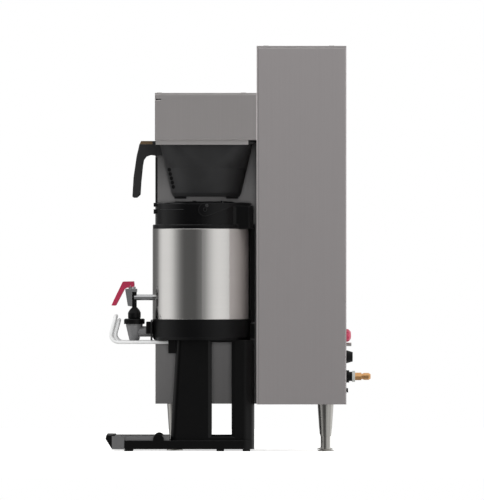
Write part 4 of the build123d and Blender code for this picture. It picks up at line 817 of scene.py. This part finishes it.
def build_vents():
    """A row of small ovals along a leaning line, seen from the side."""
    group, start, end = open_group("row_of_vents", [("Softness", NUMBER, VENT_SOFTNESS)], [("Vents", NUMBER)])
    run, drop = VENT_BOTTOM[0] - VENT_TOP[0], VENT_BOTTOM[1] - VENT_TOP[1]
    length = math.hypot(run, drop)
    pitch = length / (VENT_COUNT - 1)
    along, across = (0.0, run / length, drop / length), (0.0, -drop / length, run / length)
    place = add(group, "ShaderNodeTexCoord", (-900, -250))
    moved = add(group, "ShaderNodeVectorMath", (-700, -250), operation="SUBTRACT")
    moved.inputs[1].default_value = (0.0, *VENT_TOP)
    group.links.new(place.outputs["Object"], moved.inputs[0])
    distances = []
    for line in (along, across):
        node = add(group, "ShaderNodeVectorMath", (-500, -250), operation="DOT_PRODUCT")
        node.inputs[1].default_value = line
        group.links.new(moved.outputs[0], node.inputs[0])
        distances.append(node.outputs["Value"])
    steps = calculate(group, "ADD", calculate(group, "DIVIDE", distances[0], pitch), 0.5)
    within = calculate(group, "SUBTRACT", calculate(group, "FRACT", steps), 0.5)
    tall = calculate(group, "MULTIPLY", within, pitch / VENT_HALF_LENGTH)
    wide = calculate(group, "DIVIDE", distances[1], VENT_HALF_WIDTH)
    squares = [calculate(group, "POWER", share, 2.0) for share in (tall, wide)]
    from_middle = calculate(group, "ADD", *squares)
    left_over = calculate(group, "SUBTRACT", 1.0, from_middle)
    inside = calculate(group, "DIVIDE", left_over, start.outputs["Softness"], clamp=True)
    first = calculate(group, "GREATER_THAN", steps, 0.0)
    last = calculate(group, "LESS_THAN", steps, float(VENT_COUNT))
    in_row = calculate(group, "MULTIPLY", first, last)
    group.links.new(calculate(group, "MULTIPLY", inside, in_row), end.inputs["Vents"])
    return group


vents = build_vents()
print("group", vents.name)

# %% [markdown]
# The vented basket's finish is a copy of the plain basket's, which the handle keeps. Inside the ovals it is
# painted black, as the painted shade of a hole, and it is dull as well, because no shine comes out of a hole.

# %% The vented basket
vented = finishes["basket_black"].copy()
vented.name = "matt_basket_black_with_vents"
vent_mask = place_group(vented.node_tree, vents, (-900, -900))
# Painted shade: black inside each oval, where a hole would be dark
cover(vented, vent_mask.outputs["Vents"], colour(1, 1, 1))
rough = shader_of(vented).inputs["Roughness"]
dull = calculate(vented.node_tree, "MAXIMUM", rough.links[0].from_socket, vent_mask.outputs["Vents"])
vented.node_tree.links.new(dull, rough)
finishes["vented_basket"] = vented
print("vents", VENT_COUNT)

# %% [markdown]
# The water inlet's bulkhead is black up to its seal, which is pale rubber and is pressed against the brass
# fitting. The mask begins where the seal does. A piece of its own would work too, but the two are so flush
# that only the change of colour shows.

# %% The pale seal
SEAL_START = 0.2578
SEAL_BLEND = 0.0002

sealed = finishes["black_plastic"].copy()
sealed.name = "satin_black_with_pale_seal"
past = calculate(sealed.node_tree, "SUBTRACT", place_on(sealed, "Y"), SEAL_START)
cover(sealed, calculate(sealed.node_tree, "DIVIDE", past, SEAL_BLEND, clamp=True), colour(206, 210, 206))
finishes["sealed_bulkhead"] = sealed
print("seal starts at", SEAL_START)

# %% [markdown]
# The guard's rods are welded to a small plate that the faucet's shank passes through. The plate is coated
# black like the base behind it, so it needs a mask too: a thin slice of the piece, above the rods.

# %% The guard's black plate
PLATE_MIDDLE = -0.19655
PLATE_HALF = 0.0017
ROD_TOP = 0.2497

plated = finishes["pale_rod"].copy()
plated.name = "pale_guard_rod_with_black_plate"
from_plate = calculate(plated.node_tree, "SUBTRACT", place_on(plated, "Y"), PLATE_MIDDLE)
aside = calculate(plated.node_tree, "ABSOLUTE", from_plate)
in_slice = calculate(plated.node_tree, "LESS_THAN", aside, PLATE_HALF)
above_rods = calculate(plated.node_tree, "GREATER_THAN", place_on(plated, "Z"), ROD_TOP)
cover(plated, calculate(plated.node_tree, "MULTIPLY", in_slice, above_rods), colour(10, 10, 11))
finishes["plated_guard"] = plated
print("plate between", PLATE_MIDDLE - PLATE_HALF, "and", PLATE_MIDDLE + PLATE_HALF)

# %% [markdown]
# Each CAD node says in the record which slot its finish comes from. One loop hands the materials out, and a
# short list names the pieces with a finish of their own. A node that is packed again later keeps its right
# finish without any change here.

# %% Handing out the finishes
OWN_FINISH = {
    "inlet_bulkhead": "sealed_bulkhead", "drain_knob": "bright_red", "tower_wrap": "tower_sheet",
    "tower_rear_panel": "tower_sheet", "center_column": "column_sheet", "basket_rails": "rail_sheet",
}
for side in ("right", "left"):
    OWN_FINISH[f"basket_{side}_shell"] = "vented_basket"
    OWN_FINISH[f"server_{side}_guard"] = "plated_guard"
    OWN_FINISH[f"server_{side}_stand"] = "stand_black"
    for piece in ("collar", "lid", "bail"):
        OWN_FINISH[f"server_{side}_{piece}"] = "polished_black"

slot_of = {row["node"]: row["material_slot"] for row in frame["record"]["subparts"]}
for name, piece in frame["nodes"].items():
    for place in piece.material_slots:
        place.material = finishes[OWN_FINISH.get(name, slot_of[name])]
print("nodes with a finish", len(slot_of))

# %% [markdown]
# A red lever would mirror as a red spot at the edge of the jacket behind it. The photograph shows none, so
# mirrored rays pass the levers. Turning the faucet would move the spot, but then it would stand askew.

# %% The levers out of the mirrors
levers = [frame["nodes"][f"server_{side}_lever"] for side in ("right", "left")]
for lever in levers:
    lever.visible_glossy = False
print("levers left out of reflections", len(levers))

# %% [markdown]
# A few small round things are still missing, and they come in two kinds. A rod is a row of rings along a
# path, joined by faces, and its ends narrow like a welded bead. A dome is turned from its outline, as on a
# lathe. Curves with a round bevel would do for the rods as well, but not for the domes, so both are meshes.

# %% How rods and domes are made
ROD_SIDES = 10
DOME_SIDES = 24
BEAD_END = 0.4
SAME_POINT = 1e-6


def finished(name, mesh):
    """A smooth-shaded object from a mesh in the making."""
    bmesh.ops.recalc_face_normals(mesh, faces=mesh.faces)
    for face in mesh.faces:
        face.smooth = True
    data = bpy.data.meshes.new(name)
    mesh.to_mesh(data)
    mesh.free()
    piece = bpy.data.objects.new(name, data)
    bpy.context.scene.collection.objects.link(piece)
    return piece


def rod(name, path, thickness):
    """A round rod along a path, with ends that narrow like a welded bead."""
    mesh = bmesh.new()
    rings = []
    for index, point in enumerate(path):
        ahead = path[min(index + 1, len(path) - 1)] - path[max(index - 1, 0)]
        turn = ahead.to_track_quat("Z", "X")
        reach = thickness * (BEAD_END if index in (0, len(path) - 1) else 1.0)
        angles = [math.tau * step / ROD_SIDES for step in range(ROD_SIDES)]
        corners = [Vector((reach * math.cos(angle), reach * math.sin(angle), 0)) for angle in angles]
        rings.append([mesh.verts.new(point + turn @ corner) for corner in corners])
    for first, second in zip(rings, rings[1:]):
        for step in range(ROD_SIDES):
            after = (step + 1) % ROD_SIDES
            mesh.faces.new((first[step], first[after], second[after], second[step]))
    mesh.faces.new(reversed(rings[0]))
    mesh.faces.new(rings[-1])
    return finished(name, mesh)


def dome(name, outline, place, side):
    """A low head that faces one side, turned from its outline of (reach, rise)."""
    mesh = bmesh.new()
    points = [mesh.verts.new((rise, reach, 0)) for reach, rise in outline]
    lines = [mesh.edges.new(pair) for pair in zip(points, points[1:])]
    bmesh.ops.spin(
        mesh, geom=points + lines, axis=(1, 0, 0), cent=(0, 0, 0), angle=math.tau, steps=DOME_SIDES
    )
    bmesh.ops.remove_doubles(mesh, verts=mesh.verts, dist=SAME_POINT)
    for vert in mesh.verts:
        vert.co = Vector((place[0] + side * vert.co.x, place[1] + vert.co.y, place[2] + vert.co.z))
    return finished(name, mesh)


added = []


def dress(piece, slot, body):
    """Gives an added piece the finish of a slot, and the body that carries it."""
    piece.data.materials.append(finishes[slot])
    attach(piece, body)
    added.append(piece)


print("sides of a rod", ROD_SIDES, "and of a dome", DOME_SIDES)

# %% [markdown]
# Three small things on each server are too thin for the CAD model. A raised rib runs round the collar from
# its front to the bail's disc, on both sides. A domed rivet sits on the bail above each disc. Two short pins
# stand on the lid near its rear. Textures could draw them, but as real pieces they catch the light. Ribs and
# rivets are as dull as the baskets, because a glossier black would glitter on something so thin.

# %% Ribs, rivets and pins for both servers
# The right server's middle, along X and Y
SERVER_MIDDLE = (0.1605, -0.0819)
RIB_HEIGHT = 0.5458
RIB_REACH = 0.1052
# Where a rib begins and ends round the collar, in degrees
RIB_TURN = (-64.4, -22.7)
RIB_STEPS = 24
RIB_THICKNESS = 0.0007
# A rivet's place along Y and Z, and how far its seat is from the server's middle
RIVET_PLACE = (-0.0715, 0.5548)
RIVET_FACE = 0.1102
RIVET_OUTLINE = ((0.0, 0.0011), (0.0025, 0.0009), (0.0045, 0.0003), (0.0052, -0.0008))
PIN_SIDE = 0.0600
# The two pins along Y
PIN_PLACES = (-0.0410, -0.0349)
PIN_FOOT = 0.5580
PIN_TOP = 0.5653
PIN_STEPS = 6
PIN_THICKNESS = 0.0010


def rib_path(middle, side):
    """The rib's arc round the collar, from its front to the bail's disc."""
    first, last = RIB_TURN
    path = []
    for step in range(RIB_STEPS + 1):
        turn = math.radians(first + (last - first) * step / RIB_STEPS)
        across = middle + side * RIB_REACH * math.cos(turn)
        path.append(Vector((across, SERVER_MIDDLE[1] + RIB_REACH * math.sin(turn), RIB_HEIGHT)))
    return path


def pin_path(middle, y):
    """A short upright line on the lid."""
    rise = (PIN_TOP - PIN_FOOT) / PIN_STEPS
    return [Vector((middle + PIN_SIDE, y, PIN_FOOT + rise * step)) for step in range(PIN_STEPS + 1)]


for name, middle in (("right", SERVER_MIDDLE[0]), ("left", -SERVER_MIDDLE[0])):
    for face, side in (("outer", 1), ("inner", -1)):
        rib = rod(f"collar_rib_{name}_{face}", rib_path(middle, side), RIB_THICKNESS)
        dress(rib, "basket_black", f"server_{name}")
        place = (middle + side * RIVET_FACE, *RIVET_PLACE)
        rivet = dome(f"bail_rivet_{name}_{face}", RIVET_OUTLINE, place, side)
        dress(rivet, "basket_black", f"bail_{name}")
    for number, y in enumerate(PIN_PLACES, 1):
        pin = rod(f"lid_pin_{name}_{number}", pin_path(middle, y), PIN_THICKNESS)
        dress(pin, "grey_plastic", f"lid_{name}")
print("added pieces", len(added))

# %% [markdown]
# The picture is shown as it is rendered, without a film look, so that its colours can be compared with the
# photograph.

# %% Showing the picture
bpy.context.scene.view_settings.view_transform = "Standard"
